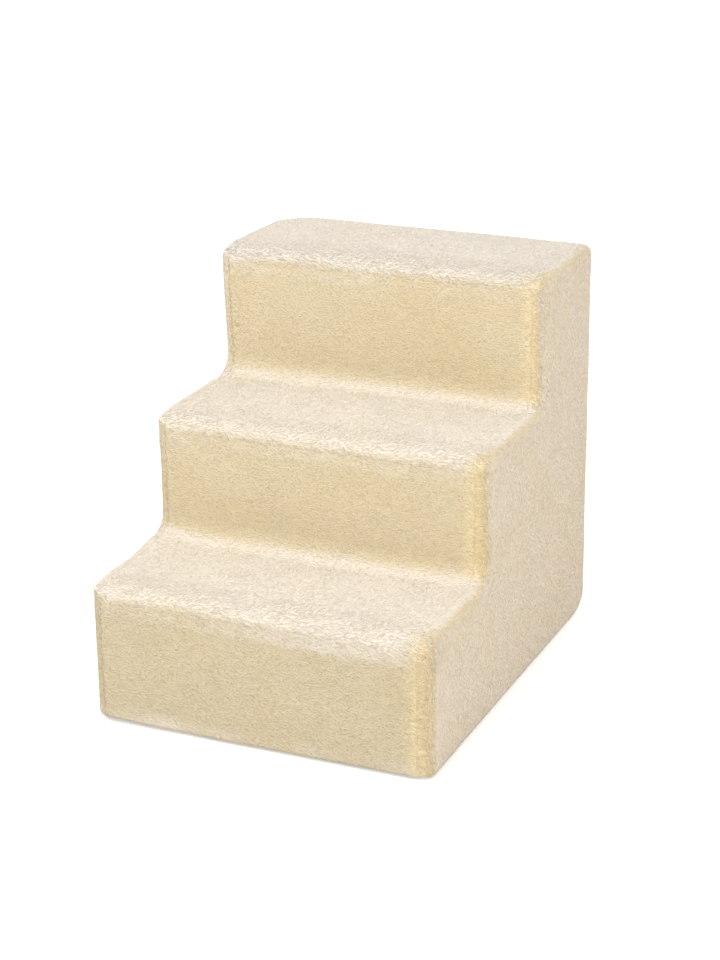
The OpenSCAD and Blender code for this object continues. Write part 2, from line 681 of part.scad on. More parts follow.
// Rear board: follows the heel at the bottom, with a channel down the middle that clears the zip
rear_ribs = 5;
channel_y = frame_rear_y - channel_d - board_t;
module rear_section(d, past) {
    line = heel(frame_in + d, base_in + d);
    foot = line[nose_steps];
    polygon(concat([[frame_rear_y - d, rear_high + past]], line,
        [[foot[0] - past, foot[1]], [foot[0] - past, rear_high + past]]));
}

// Plan of the whole frame with its rear edges rounded
rear_plan_r = max(rear_edge_r - frame_in, min_r);
module rear_plan() {
    r = rear_plan_r;
    translate([-frame_x, -rear_y]) square([2 * frame_x, rear_y + frame_rear_y - r]);
    translate([-frame_x + r, 0]) square([2 * (frame_x - r), frame_rear_y]);
    for (s = [-1, 1]) translate([s * (frame_x - r), frame_rear_y - r]) circle(r = r, $fn = 32);
}

module rear_board() {
    rib_y = channel_y - riser_rib_h / 2;
    rib_out = frame_rear_y - board_t / 2 - rib_y;
    low = hem_lift + heel_rise_r;
    rib_high = rear_high - tread_rib_h;
    notch_x = frame_x - tread_edge_r + frame_in - board_fit;
    foot_end = frame_x - rear_plan_r - board_fit;
    color("gainsboro") {
        difference() {
            union() {
                intersection() {
                    along_x(-frame_x, 2 * frame_x) difference() {
                        rear_section(0, 0);
                        rear_section(board_t, over);
                    }
                    linear_extrude(stairs_h) rear_plan();
                }
                translate([-channel_hw - board_t, channel_y, low - board_t]) cube([
                    2 * (channel_hw + board_t), frame_rear_y - board_t / 2 - channel_y,
                    rear_high - low + board_t]);
                for (i = [0:rear_ribs - 1])
                    translate([-rib_hx, rib_y, low + (rib_high - low - rib_t) * i / (rear_ribs - 1)])
                        cube([2 * rib_hx, rib_out, rib_t]);
                for (s = [-1, 1]) for (x = [rib_hx - rib_t / 2, (rib_hx + channel_hw) / 2])
                    translate([s * x - rib_t / 2, rib_y, low]) cube([rib_t, rib_out, rib_high - low]);
            }
            translate([-channel_hw, frame_rear_y - channel_d, -over])
                cube([2 * channel_hw, channel_d + over, stairs_h]);
            for (s = [0, 1]) mirror([s, 0, 0]) {
                translate([notch_x, channel_y, frame_tread(2) - side_lip_h - board_fit])
                    cube([frame_x - notch_x + over, stairs_d, stairs_h]);
                translate([foot_end, 0, 0]) cube([frame_x - foot_end + over, stairs_d, low]);
            }
        }
        both_ends() at_rear_hooks() hook(rim_t);
    }
}

// Floor rail: an upturned channel across the base, pegged into both base flanges
module floor_rail() {
    z0 = frame_z0 + rim_t + board_fit;
    color("whitesmoke") difference() {
        union() {
            translate([-rail_end_x, rail_y - rail_w / 2, z0]) cube([2 * rail_end_x, rail_w, rail_h]);
            for (sx = [-1, 1]) for (sy = [-1, 1])
                translate([sx * peg_x, rail_y + sy * rail_w / 4, frame_z0])
                    cylinder(r = foot_stem_r, h = rim_t + 2 * board_fit, $fn = 48);
        }
        translate([-rail_end_x - over, rail_y - rail_w / 2 + rail_t, z0 + rail_t])
            cube([2 * (rail_end_x + over), rail_w - 2 * rail_t, rail_h]);
    }
}

// Rubber feet: a pad on the floor, a stem through the base flange and a swelling above it
foot_edge = 1;
module rubber_feet() {
    head = foot_stem_r + 2 * foot_stem_fit;
    pad_top = frame_z0 - board_fit;
    head_low = frame_z0 + rim_t + board_fit;
    head_high = head_low + rim_t;
    top = head_high + foot_stem_r / 2;
    color("dimgray") for (s = [-1, 1]) for (y = foot_ys) translate([s * foot_x, y, 0])
        rotate_extrude($fn = 64) polygon([
            [0, 0], [foot_r - foot_edge, 0], [foot_r, foot_edge], [foot_r, pad_top], [foot_stem_r, pad_top],
            [foot_stem_r, head_low], [head, head_low], [head, head_high], [foot_stem_r, top], [0, top]]);
}

// Zip down the back: tapes sewn inside the plush edges, moulded teeth, stops, slider and pull

tape_y = rear_y - plush_t - tape_t;
chain_y = tape_y + tape_t / 2;
tape_in = post_hw + 2 * slider_fit;
stop_hw = chain_hw + slider_fit + flange_t / 2;
stop_z = zip_low_z + zip_tail;
slider_z = stop_z + stop_h + slider_fit;
end_stop_z = zip_low_z + zip_open - stop_h - zip_tail / 2;
teeth_z0 = slider_z + post_h + slider_fit;
teeth_n = floor((end_stop_z - slider_fit - teeth_z0 - tooth_pitch / 2) / tooth_pitch);
head_w = tooth_pitch / 2 - tooth_gap;

module zip_tape() {
    z0 = hem_lift + heel_rise_r;
    z1 = zip_low_z + zip_open + zip_tail;
    translate([tape_in, tape_y, z0]) cube([tape_out - tape_in, tape_t, z1 - z0]);
}
module zip_tape_right() { color("oldlace") zip_tape(); }
module zip_tape_left() { color("oldlace") mirror([1, 0, 0]) zip_tape(); }

// Slot that the right tape leaves in whatever is moulded onto it
module tape_slot() { translate([tape_in, tape_y, 0]) cube([tape_out, tape_t, stairs_h]); }

// Row of teeth on the right tape: a bead along the tape's edge with heads that cross the middle
neck_share = 0.6;
module teeth_row() {
    neck_w = head_w * neck_share;
    bead_x = (tape_in + chain_hw) / 2;
    points = concat(
        [[chain_hw, teeth_z0], [chain_hw, teeth_z0 + teeth_n * tooth_pitch]],
        [for (i = [teeth_n - 1:-1:0]) let (z = teeth_z0 + i * tooth_pitch + head_w / 2) each [
            [bead_x, z + neck_w / 2], [tooth_reach / 3, z + neck_w / 2], [0, z + head_w / 2],
            [-tooth_reach, z + head_w / 4], [-tooth_reach, z - head_w / 4],
            [0, z - head_w / 2], [tooth_reach / 3, z - neck_w / 2], [bead_x, z - neck_w / 2]]],
        [[bead_x, teeth_z0]]);
    difference() {
        translate([0, chain_y + tooth_t / 2, 0]) rotate([90, 0, 0]) linear_extrude(tooth_t) polygon(points);
        tape_slot();
    }
}
module zip_teeth_right() { color("ivory") teeth_row(); }
module zip_teeth_left() { color("ivory") translate([0, 0, tooth_pitch / 2]) mirror([1, 0, 0]) teeth_row(); }

// Blocks that end the slider's travel: one on each tape below it, one across both tapes above it
module zip_top_stops() {
    color("ivory") both_ends() difference() {
        translate([post_hw, chain_y - tooth_t / 2, stop_z]) cube([stop_hw - post_hw, tooth_t, stop_h]);
        tape_slot();
    }
}
module zip_end_stop() {
    color("ivory") difference() {
        translate([-stop_hw, chain_y - tooth_t / 2, end_stop_z]) cube([2 * stop_hw, tooth_t, stop_h]);
        both_ends() tape_slot();
    }
}

// Slider: two shield-shaped plates on a post, with flanges that hold the chain, and the pull's bail
plate_y = chain_y + tooth_t / 2 + slider_fit;
pull_y = plate_y + slider_t + slider_fit + pull_bar_r;
pull_z = slider_z + slider_len / 2;
bail_open = 2 * pull_bar_r + 2 * slider_fit;

module slider_plan() {
    tail = chain_hw + slider_fit + flange_t;
    mouth = tail + flange_t / 2;
    step = slider_len / 5;
    polygon([
        [-mouth + flange_t / 2, slider_z], [mouth - flange_t / 2, slider_z], [mouth, slider_z + step / 2],
        [mouth, slider_z + 2 * step], [tail, slider_z + 3 * step], [tail, slider_z + slider_len - step / 2],
        [tail - step / 2, slider_z + slider_len], [-tail + step / 2, slider_z + slider_len],
        [-tail, slider_z + slider_len - step / 2], [-tail, slider_z + 3 * step],
        [-mouth, slider_z + 2 * step], [-mouth, slider_z + step / 2]]);
}

module zip_slider() {
    body_t = tooth_t + 2 * slider_fit + 2 * slider_t;
    slit = tape_t + 2 * slider_fit;
    color("silver") {
        difference() {
            translate([0, chain_y + body_t / 2, 0]) rotate([90, 0, 0]) linear_extrude(body_t) slider_plan();
            translate([-chain_hw - slider_fit, chain_y - tooth_t / 2 - slider_fit, slider_z - over])
                cube([2 * (chain_hw + slider_fit), tooth_t + 2 * slider_fit, slider_len + 2 * over]);
            translate([-zip_gap, chain_y - slit / 2, slider_z - over])
                cube([2 * zip_gap, slit, slider_len + 2 * over]);
        }
        translate([-post_hw, chain_y - body_t / 2 + slider_t / 2, slider_z])
            cube([2 * post_hw, body_t - slider_t, post_h]);
        translate([-bail_w / 2, 0, 0]) difference() {
            translate([0, plate_y + slider_t / 2, pull_z - bail_half])
                cube([bail_w, slider_t / 2 + bail_open + slider_t, 2 * bail_half]);
            translate([-over, plate_y + slider_t, pull_z - bail_half + slider_t])
                cube([bail_w + 2 * over, bail_open, 2 * (bail_half - slider_t)]);
        }
    }
}

// Pull: a cross bar through the bail, two arms and a rounded tab with a finger slot
module zip_pull() {
    eye_hw = bail_w / 2 + 2 * slider_fit;
    arm = eye_hw + flange_t;
    eye_h = bail_half + 3 * slider_fit + slider_t;
    tab_r = pull_w / 2;
    color("silver") translate([0, pull_y, pull_z]) {
        translate([-arm, 0, 0]) rotate([0, 90, 0]) cylinder(r = pull_bar_r, h = 2 * arm, $fn = 32);
        translate([0, pull_bar_r, 0]) rotate([90, 0, 0]) linear_extrude(2 * pull_bar_r) difference() {
            union() {
                translate([-arm, -eye_h]) square([2 * arm, eye_h]);
                polygon([[-arm, -eye_h + pull_bar_r], [arm, -eye_h + pull_bar_r],
                    [tab_r, -eye_h - tab_r / 2], [tab_r, -pull_len + tab_r],
                    [-tab_r, -pull_len + tab_r], [-tab_r, -eye_h - tab_r / 2]]);
                translate([0, -pull_len + tab_r]) circle(r = tab_r, $fn = 48);
            }
            translate([-eye_hw, -eye_h]) square([2 * eye_hw, eye_h + over]);
            translate([0, -pull_len + tab_r]) circle(r = tab_r / 2, $fn = 32);
        }
    }
}

cover_step_strip();
cover_left_side();
cover_right_side();
cover_back_left();
cover_back_right();
hem_tunnel();
hem_elastic();
side_frame_left();
side_frame_right();
tread_board_lower();
tread_board_middle();
tread_board_upper();
riser_board_lower();
riser_board_middle();
riser_board_upper();
rear_board();
floor_rail();
rubber_feet();
zip_tape_left();
zip_tape_right();
zip_teeth_left();
zip_teeth_right();
zip_top_stops();
zip_end_stop();
zip_slider();
zip_pull();
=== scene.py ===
"""Pet stairs: the looks of the plush cover, its pile, hem and zip, and of the moulded frame inside.

Metres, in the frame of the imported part. X runs across the steps, Y from the front to the back and
Z up. Every size that the part itself fixes is worked out from the boxes of its nodes.
"""
import logging
import math
from dataclasses import dataclass, field
from enum import Enum
from functools import cache

import bmesh
import bpy
import numpy as np
from mathutils import Matrix, Vector, geometry, noise


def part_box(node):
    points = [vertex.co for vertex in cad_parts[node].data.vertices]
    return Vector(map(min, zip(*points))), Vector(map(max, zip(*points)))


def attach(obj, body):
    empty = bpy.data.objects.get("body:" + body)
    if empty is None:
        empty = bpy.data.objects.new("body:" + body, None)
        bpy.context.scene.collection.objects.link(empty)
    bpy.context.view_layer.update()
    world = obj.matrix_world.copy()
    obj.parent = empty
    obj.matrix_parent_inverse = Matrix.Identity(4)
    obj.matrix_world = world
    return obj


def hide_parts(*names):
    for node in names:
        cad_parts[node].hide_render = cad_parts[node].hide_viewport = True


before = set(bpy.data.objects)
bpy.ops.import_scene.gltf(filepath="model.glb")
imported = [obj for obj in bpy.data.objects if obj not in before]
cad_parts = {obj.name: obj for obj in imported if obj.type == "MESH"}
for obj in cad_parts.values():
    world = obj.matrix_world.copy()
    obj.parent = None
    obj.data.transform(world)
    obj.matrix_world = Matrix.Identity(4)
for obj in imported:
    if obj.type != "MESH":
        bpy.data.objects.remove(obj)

LOG = logging.getLogger("pet_stairs")
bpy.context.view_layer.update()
MM = 0.001
WHITE = (1.0, 1.0, 1.0, 1.0)
LEVELS = ("lower", "middle", "upper")


class Side(Enum):
    """The two sides of the stairs, by the sign of X."""

    LEFT = -1
    RIGHT = 1


class Lay(Enum):
    """How the pile lies on a panel of the cover."""

    TREAD = "tread"
    SIDE = "side"


# Finishes


def linear(red: float, green: float, blue: float) -> tuple[float, float, float, float]:
    """Turns a display colour of 0 to 255 into a linear one.

    Args:
        red: Red.
        green: Green.
        blue: Blue.

    Returns:
        Linear red, green, blue and an alpha of 1.
    """
    shares = [c / 255 for c in (red, green, blue)]
    return tuple(s / 12.92 if s <= 0.04045 else ((s + 0.055) / 1.055) ** 2.4 for s in shares) + (1.0,)


@dataclass(frozen=True)
class PlushFinish:
    """Cream plush: one colour for each way that the pile faces, partly the pile's lay and partly painted light and
    shade, mottled and softly lit.

    Attributes:
        name: Name of the material.
        tread: Colour of the pile that stands on the treads, lighter partly as painted light from above.
        riser: Colour of the pile that is brushed along the risers, darker and yellower partly as painted shade.
        band: Warmer colour of the clumped pile beside the corner seams.
        side: Greyer colour of the smooth sides and back, partly painted shade.
        warm: Tint of the yellower patches.
        nap_shade: Painted shade: a greyer tint where the pile lies away from the front, and low on the lowest riser.
        sheen: Tint of the sheen.
        patch: Strength of the yellower patches.
        mottle: Strength of the uneven dye.
        grain: Strength of the change in tone from clump to clump.
        lock_tone: Strength of the change in tone from lock to lock.
        fibre_depth: Depth of the single fibres.
    """

    name: str
    tread: tuple = linear(245, 237, 224)
    riser: tuple = linear(226, 212, 181)
    band: tuple = linear(248, 231, 193)
    side: tuple = linear(237, 225, 207)
    warm: tuple = (1.0, 0.955, 0.84, 1.0)
    nap_shade: tuple = (0.935, 0.94, 0.965, 1.0)
    sheen: tuple = (1.0, 0.97, 0.9, 1.0)
    patch: float = 0.45
    mottle: float = 0.04
    grain: float = 0.04
    lock_tone: float = 0.03
    fibre_depth: float = 0.6 * MM


@dataclass(frozen=True)
class ClothFinish:
    """Woven cloth, with its threads counted per metre on a UV map in metres."""

    name: str
    colour: tuple
    shade: tuple
    threads: float
    depth: float = 0.15 * MM
    mottle: float = 0.06


@dataclass(frozen=True)
class PlasticFinish:
    """Moulded plastic with a spark-eroded texture and slight rubbed marks."""

    name: str
    colour: tuple
    worn: tuple
    roughness: float = 0.46
    depth: float = 0.06 * MM
    texture_scale: float = 1400.0
    mottle: float = 0.035


@dataclass(frozen=True)
class MetalFinish:
    """Plated metal with fine tumbling marks."""

    name: str
    colour: tuple
    roughness: float = 0.32
    depth: float = 0.04 * MM
    mottle: float = 0.08


PLUSH = PlushFinish("cream_plush")
BACKING = ClothFinish("plush_backing", linear(232, 224, 205), linear(206, 196, 174), 1400.0)
HEM_CLOTH = ClothFinish("hem_binding", linear(236, 228, 208), linear(203, 192, 168), 1600.0)
ELASTIC_CLOTH = ClothFinish("ribbed_elastic", linear(240, 240, 236), linear(196, 196, 192), 1100.0)
ZIP_CLOTH = ClothFinish("zip_tape_weave", linear(232, 218, 188), linear(200, 184, 152), 1900.0)
THREAD = ClothFinish("sewing_thread", linear(250, 245, 232), linear(232, 223, 200), 2400.0)
FRAME_PLASTIC = PlasticFinish("frame_plastic", linear(226, 224, 217), linear(240, 239, 234))
ZIP_PLASTIC = PlasticFinish("zip_plastic", linear(238, 226, 198), linear(246, 238, 218), 0.3)
RUBBER = PlasticFinish("foot_rubber", linear(52, 52, 54), linear(84, 83, 82), 0.72, 0.2 * MM)
ZIP_METAL = MetalFinish("zip_plating", linear(196, 194, 188))


# Node trees


class Tree:
    """Short calls that add and join the nodes of one node tree.

    A source is a socket, a node, for its first output that is in use, or a plain value.
    """

    def __init__(self, tree: bpy.types.NodeTree) -> None:
        """Keeps the tree and empties it."""
        self.tree = tree
        tree.nodes.clear()

    def fill(self, node: bpy.types.Node, inputs: dict) -> None:
        """Sets or links inputs of a node.

        Args:
            node: The node.
            inputs: Source of each input by its name or number.
        """
        for key, source in inputs.items():
            if isinstance(source, bpy.types.Node):
                source = next(s for s in source.outputs if s.enabled)
            if isinstance(source, bpy.types.NodeSocket):
                self.tree.links.new(source, node.inputs[key])
            else:
                node.inputs[key].default_value = source

    def add(self, kind: str, inputs: dict | None = None, **properties: object) -> bpy.types.Node:
        """Adds a node.

        Args:
            kind: Type of the node.
            inputs: Source of each input by its name or number.
            properties: Plain properties by name.

        Returns:
            The new node.
        """
        node = self.tree.nodes.new(kind)
        for key, value in properties.items():
            setattr(node, key, value)
        self.fill(node, inputs or {})
        return node

    def math(self, operation: str, *sources: object) -> bpy.types.Node:
        """Adds a Math node."""
        return self.add("ShaderNodeMath", dict(enumerate(sources)), operation=operation)

    def mix(self, share: object, a: object, b: object, blend: str = "MIX") -> bpy.types.Node:
        """Adds a Mix node that puts a share of the colour b over the colour a."""
        return self.add("ShaderNodeMix", {0: share, 6: a, 7: b}, data_type="RGBA", blend_type=blend)

    def noise(self, place: object, scale: object, detail: float, rough: float) -> bpy.types.Node:
        """Adds a Noise Texture with its scale per metre, its number of finer layers and their weight."""
        return self.add("ShaderNodeTexNoise", {"Vector": place, "Scale": scale, "Detail": detail, "Roughness": rough})

    def spread(self, source: object, low: float, high: float, to_low: float, to_high: float) -> bpy.types.Node:
        """Adds a clamped Map Range node from low and high to two new ends."""
        return self.add("ShaderNodeMapRange", dict(enumerate((source, low, high, to_low, to_high))))


def new_group(name: str, kind: str, given: dict[str, str], results: dict[str, str]) -> tuple:
    """Starts a node group with named inputs and outputs.

    Args:
        name: Name of the group.
        kind: Shader or Geometry.
        given: Type of each input by name.
        results: Type of each output by name.

    Returns:
        The tree, the sockets of its inputs, its output node and the identifier of each input by name.
    """
    group = bpy.data.node_groups.new(name, f"{kind}NodeTree")
    names = {}
    for key, socket in given.items():
        made = group.interface.new_socket(name=key, in_out="INPUT", socket_type=f"NodeSocket{socket}")
        names[key] = made.identifier
    for key, socket in results.items():
        group.interface.new_socket(name=key, in_out="OUTPUT", socket_type=f"NodeSocket{socket}")
    t = Tree(group)
    return t, t.add("NodeGroupInput").outputs, t.add("NodeGroupOutput"), names


@cache
def mottle_group() -> bpy.types.NodeTree:
    """Builds the shared effect of uneven dye and handling: a factor around 1 that drifts over a surface.

    Returns:
        The node group, with a Place, a Scale and an Amount, and a Factor and a Height.
    """
    t, given, out, _ = new_group("uneven_tone", "Shader", {"Place": "Vector", "Scale": "Float", "Amount": "Float"},
                                 {"Factor": "Float", "Height": "Float"})
    broad = t.noise(given["Place"], given["Scale"], 3.0, 0.55)
    fine = t.noise(given["Place"], t.math("MULTIPLY", given["Scale"], 9.0), 2.0, 0.6)
    both = t.math("ADD", t.math("MULTIPLY", broad, 0.65), t.math("MULTIPLY", fine, 0.35))
    centred = t.math("MULTIPLY", t.math("SUBTRACT", both, 0.5), 2.0)
    factor = t.math("ADD", t.math("MULTIPLY", centred, given["Amount"]), 1.0)
    t.fill(out, {"Factor": factor, "Height": both})
    return t.tree


@cache
def weave_group() -> bpy.types.NodeTree:
    """Builds the shared effect of a plain weave on a UV map in metres.

    Returns:
        The node group, with a Place and Threads per metre, and a Mask and a Height.
    """
    t, given, out, _ = new_group("plain_weave", "Shader", {"Place": "Vector", "Threads": "Float"},
                                 {"Mask": "Float", "Height": "Float"})
    split = t.add("ShaderNodeSeparateXYZ", {0: given["Place"]})
    turns = t.math("MULTIPLY", given["Threads"], math.pi)
    waves = [t.math("SINE", t.math("MULTIPLY", split.outputs[axis], turns)) for axis in (0, 1)]
    high = t.math("ADD", t.math("MULTIPLY", t.math("MULTIPLY", *waves), 0.5), 0.5)
    t.fill(out, {"Mask": t.spread(high, 0.2, 0.8, 0.0, 1.0), "Height": high})
    return t.tree


def new_material(name: str) -> tuple[bpy.types.Material, Tree, bpy.types.Node]:
    """Starts a material with one Principled shader.

    Args:
        name: Name of the material.

    Returns:
        The material, its tree and the shader.
    """
    made = bpy.data.materials.new(name)
    made.use_nodes = True
    t = Tree(made.node_tree)
    shader = t.add("ShaderNodeBsdfPrincipled")
    t.add("ShaderNodeOutputMaterial", {"Surface": shader})
    return made, t, shader


def place_group(t: Tree, group: bpy.types.NodeTree, place: object, **values: float) -> bpy.types.Node:
    """Adds a node group at a place on the surface, with values for its other inputs."""
    return t.add("ShaderNodeGroup", {"Place": place, **values}, node_tree=group)


def tint(t: Tree, colour: object, filter_colour: object) -> bpy.types.Node:
    """Adds a Mix node that multiplies two colours."""
    return t.mix(1.0, colour, filter_colour, "MULTIPLY")


def emboss(t: Tree, shader: bpy.types.Node, height: object, strength: float, depth: float) -> None:
    """Adds a Bump node in front of the shader's Normal."""
    t.fill(shader, {"Normal": t.add("ShaderNodeBump", {"Strength": strength, "Distance": depth, "Height": height})})


def plush_material(finish: PlushFinish) -> bpy.types.Material:
    """Makes the plush: colours by the way the pile faces, partly painted light and shade, mottling, clumps and a soft
    sheen.

    Args:
        finish: Colours and strengths.

    Returns:
        The material.
    """
    made, t, shader = new_material(finish.name)
    place = t.add("ShaderNodeTexCoord").outputs["Object"]
    tread, band, side, nap_shade, lock = (
        t.add("ShaderNodeAttribute", attribute_name=name, attribute_type="GEOMETRY").outputs["Fac"]
        for name in ("tread_share", "band_share", "side_share", "nap_share", "lock_tone"))
    # Colours by the way a face looks: partly the pile's lay, partly painted light on the treads and painted shade on
    # the risers and sides.
    colour = t.mix(side, finish.riser, finish.side)
    colour = t.mix(band, colour, finish.band)
    colour = t.mix(tread, colour, finish.tread)
    # Painted shade: a greyer tint where the pile lies away from the front, on the upper tread, and low on the lowest
    # riser.
    colour = t.mix(nap_shade, colour, tint(t, colour, finish.nap_shade))
    patches = t.spread(t.noise(place, 21.0, 3.0, 0.6), 0.42, 0.66, 0.0, finish.patch)
    patches = t.math("MULTIPLY", patches, t.spread(tread, 0.0, 1.0, 1.0, 0.45))
    colour = t.mix(patches, colour, tint(t, colour, finish.warm))
    uneven = place_group(t, mottle_group(), place, Scale=17.0, Amount=finish.mottle)
    half = finish.grain / 2
    grain = t.spread(t.noise(place, 260.0, 3.0, 0.6), 0.3, 0.7, 1.0 - half, 1.0 + half)
    own = t.math("ADD", t.math("MULTIPLY", lock, finish.lock_tone), 1.0)
    tone = t.math("MULTIPLY", t.math("MULTIPLY", uneven, grain), own)
    emboss(t, shader, t.noise(place, 620.0, 3.0, 0.65), 0.2, finish.fibre_depth)
    t.fill(shader, {"Base Color": tint(t, colour, tone), "Roughness": 0.92, "Specular IOR Level": 0.12,
                    "Sheen Weight": 0.2, "Sheen Roughness": 0.55, "Sheen Tint": finish.sheen})
    return made


def cloth_material(finish: ClothFinish) -> bpy.types.Material:
    """Makes a woven cloth.

    Args:
        finish: Colours, thread count and depth.

    Returns:
        The material.
    """
    made, t, shader = new_material(finish.name)
    coordinates = t.add("ShaderNodeTexCoord").outputs
    weave = place_group(t, weave_group(), coordinates["UV"], Threads=finish.threads)
    uneven = place_group(t, mottle_group(), coordinates["Object"], Scale=60.0, Amount=finish.mottle)
    emboss(t, shader, weave.outputs["Height"], 0.6, finish.depth)
    # Painted shade: the darker shade colour lies in the weave's low places between the threads.
    t.fill(shader, {"Base Color": tint(t, t.mix(weave, finish.shade, finish.colour), uneven),
                    "Roughness": 0.85, "Specular IOR Level": 0.2, "Sheen Weight": 0.15})
    return made


def plastic_material(finish: PlasticFinish) -> bpy.types.Material:
    """Makes a moulded plastic or rubber.

    Args:
        finish: Colours, roughness and texture.

    Returns:
        The material.
    """
    made, t, shader = new_material(finish.name)
    place = t.add("ShaderNodeTexCoord").outputs["Object"]
    uneven = place_group(t, mottle_group(), place, Scale=14.0, Amount=finish.mottle)
    rubbed = t.spread(t.noise(place, 46.0, 5.0, 0.7), 0.56, 0.74, 0.0, 0.6)
    rough = t.spread(uneven.outputs["Height"], 0.3, 0.7, finish.roughness - 0.06, finish.roughness + 0.08)
    emboss(t, shader, t.noise(place, finish.texture_scale, 2.0, 0.6), 0.5, finish.depth)
    t.fill(shader, {"Base Color": tint(t, t.mix(rubbed, finish.colour, finish.worn), uneven), "Roughness": rough})
    return made


def metal_material(finish: MetalFinish) -> bpy.types.Material:
    """Makes a plated metal with tumbling marks.

    Args:
        finish: Colour and roughness.

    Returns:
        The material.
    """
    made, t, shader = new_material(finish.name)
    place = t.add("ShaderNodeTexCoord").outputs["Object"]
    marks = t.noise(place, 900.0, 4.0, 0.7)
    uneven = place_group(t, mottle_group(), place, Scale=120.0, Amount=finish.mottle)
    rough = t.spread(marks, 0.3, 0.7, finish.roughness - 0.1, finish.roughness + 0.12)
    emboss(t, shader, marks, 0.25, finish.depth)
    t.fill(shader, {"Base Color": tint(t, finish.colour, uneven), "Roughness": rough, "Metallic": 1.0})
    return made


# Meshes


def smooth_mesh(name: str, points: np.ndarray | list, faces: list) -> bpy.types.Mesh:
    """Makes a mesh that is shaded smooth.

    Args:
        name: Name of the mesh.
        points: Points, in metres.
        faces: Faces as lists of point numbers.

    Returns:
        The mesh.
    """
    mesh = bpy.data.meshes.new(name)
    mesh.from_pydata([tuple(p) for p in points], [], [tuple(int(i) for i in f) for f in faces])
    mesh.validate()
    mesh.polygons.foreach_set("use_smooth", [True] * len(mesh.polygons))
    return mesh


def linked(name: str, data: bpy.types.ID) -> bpy.types.Object:
    """Makes an object at the origin and links it to the scene.

    Args:
        name: Name of the object.
        data: What it shows.

    Returns:
        The object.
    """
    made = bpy.data.objects.new(name, data)
    bpy.context.scene.collection.objects.link(made)
    return made


def new_piece(name: str, points: np.ndarray, faces: list, material: bpy.types.Material) -> bpy.types.Object:
    """Makes a piece of points and faces.

    Args:
        name: Name of the piece.
        points: Points, in metres.
        faces: Faces as lists of point numbers.
        material: Material of every face.

    Returns:
        The piece.
    """
    mesh = smooth_mesh(name, points, faces)
    mesh.materials.append(material)
    return linked(name, mesh)


def repeated(name: str, mesh: bpy.types.Mesh, tree: bpy.types.NodeTree, values: dict) -> bpy.types.Object:
    """Runs a Geometry Nodes tree on a mesh and makes the result a plain piece.

    Args:
        name: Name of the piece.
        mesh: Mesh that the tree starts from.
        tree: The tree.
        values: Value of each of the tree's inputs by identifier.

    Returns:
        The piece.
    """
    source = linked(name, mesh)
    modifier = source.modifiers.new("repeat", "NODES")
    modifier.node_group = tree
    for key, value in values.items():
        modifier[key] = value
    bpy.context.view_layer.update()
    graph = bpy.context.evaluated_depsgraph_get()
    plain = bpy.data.meshes.new_from_object(source.evaluated_get(graph), depsgraph=graph)
    bpy.data.objects.remove(source)
    return linked(name, plain)


def end_tree(t: Tree, out: bpy.types.Node, instances: object, material: object) -> None:
    """Makes the instances of a Geometry Nodes tree real and gives them their material."""
    real = t.add("GeometryNodeRealizeInstances", {"Geometry": instances})
    t.fill(out, {"Geometry": t.add("GeometryNodeSetMaterial", {"Geometry": real, "Material": material})})


def vectors(items: bpy.types.bpy_prop_collection, key: str) -> np.ndarray:
    """Reads a vector from each item of a mesh.

    Args:
        items: Points, faces or the values of an attribute.
        key: Name of the vector.

    Returns:
        One row for each item.
    """
    values = np.zeros(len(items) * 3, np.float32)
    items.foreach_get(key, values)
    return values.reshape(-1, 3).astype(float)


def set_points(made: bpy.types.Object, points: np.ndarray) -> None:
    """Writes the points of a piece, one row for each."""
    made.data.vertices.foreach_set("co", points.astype(np.float32).ravel())
    made.data.update()


def set_attribute(made: bpy.types.Object, name: str, values: np.ndarray) -> None:
    """Writes a number or a vector for each point.

    Args:
        made: The piece.
        name: Name of the attribute.
        values: One number or one row of three for each point.
    """
    vector = values.ndim == 2
    attribute = made.data.attributes.new(name, "FLOAT_VECTOR" if vector else "FLOAT", "POINT")
    attribute.data.foreach_set("vector" if vector else "value", values.astype(np.float32).ravel())


def set_uv(made: bpy.types.Object, places: np.ndarray) -> None:
    """Gives a piece a UV map in metres.

    Args:
        made: The piece.
        places: Two numbers for each point.
    """
    layer = made.data.uv_layers.new(name="cloth")
    index = np.zeros(len(made.data.loops), np.int32)
    made.data.loops.foreach_get("vertex_index", index)
    layer.data.foreach_set("uv", places[index].astype(np.float32).ravel())


def smoothstep(low: float, high: float, value: np.ndarray) -> np.ndarray:
    """Eases from 0 at low to 1 at high."""
    share = np.clip((value - low) / (high - low), 0, 1)
    return share * share * (3 - 2 * share)


def bell(value: np.ndarray) -> np.ndarray:
    """Falls softly from 1 at 0 to 0 at 1 and -1."""
    return (1 - np.clip(value, -1, 1) ** 2) ** 2


@dataclass(frozen=True)
class Relief:
    """Soft uneven height, from about -1 to 1, with bumps a pitch wide and a seed of its own."""

    pitch: float
    seed: float

    def over(self, points: np.ndarray) -> np.ndarray:
        """Returns one height for each point."""
        shift = Vector((self.seed, self.seed, self.seed))
        return np.array([noise.noise(Vector(p) / self.pitch + shift) for p in points])


SAG = Relief(46 * MM, 8.0)
CLUMPS = Relief(10 * MM, 3.0)
BROAD_WAVE = Relief(42 * MM, 21.0)
FINE_WAVE = Relief(8 * MM, 23.0)
BROAD_SWIRL = Relief(52 * MM, 5.0)
FINE_SWIRL = Relief(9 * MM, 15.0)
HEM_PATCHES = Relief(50 * MM, 31.0)


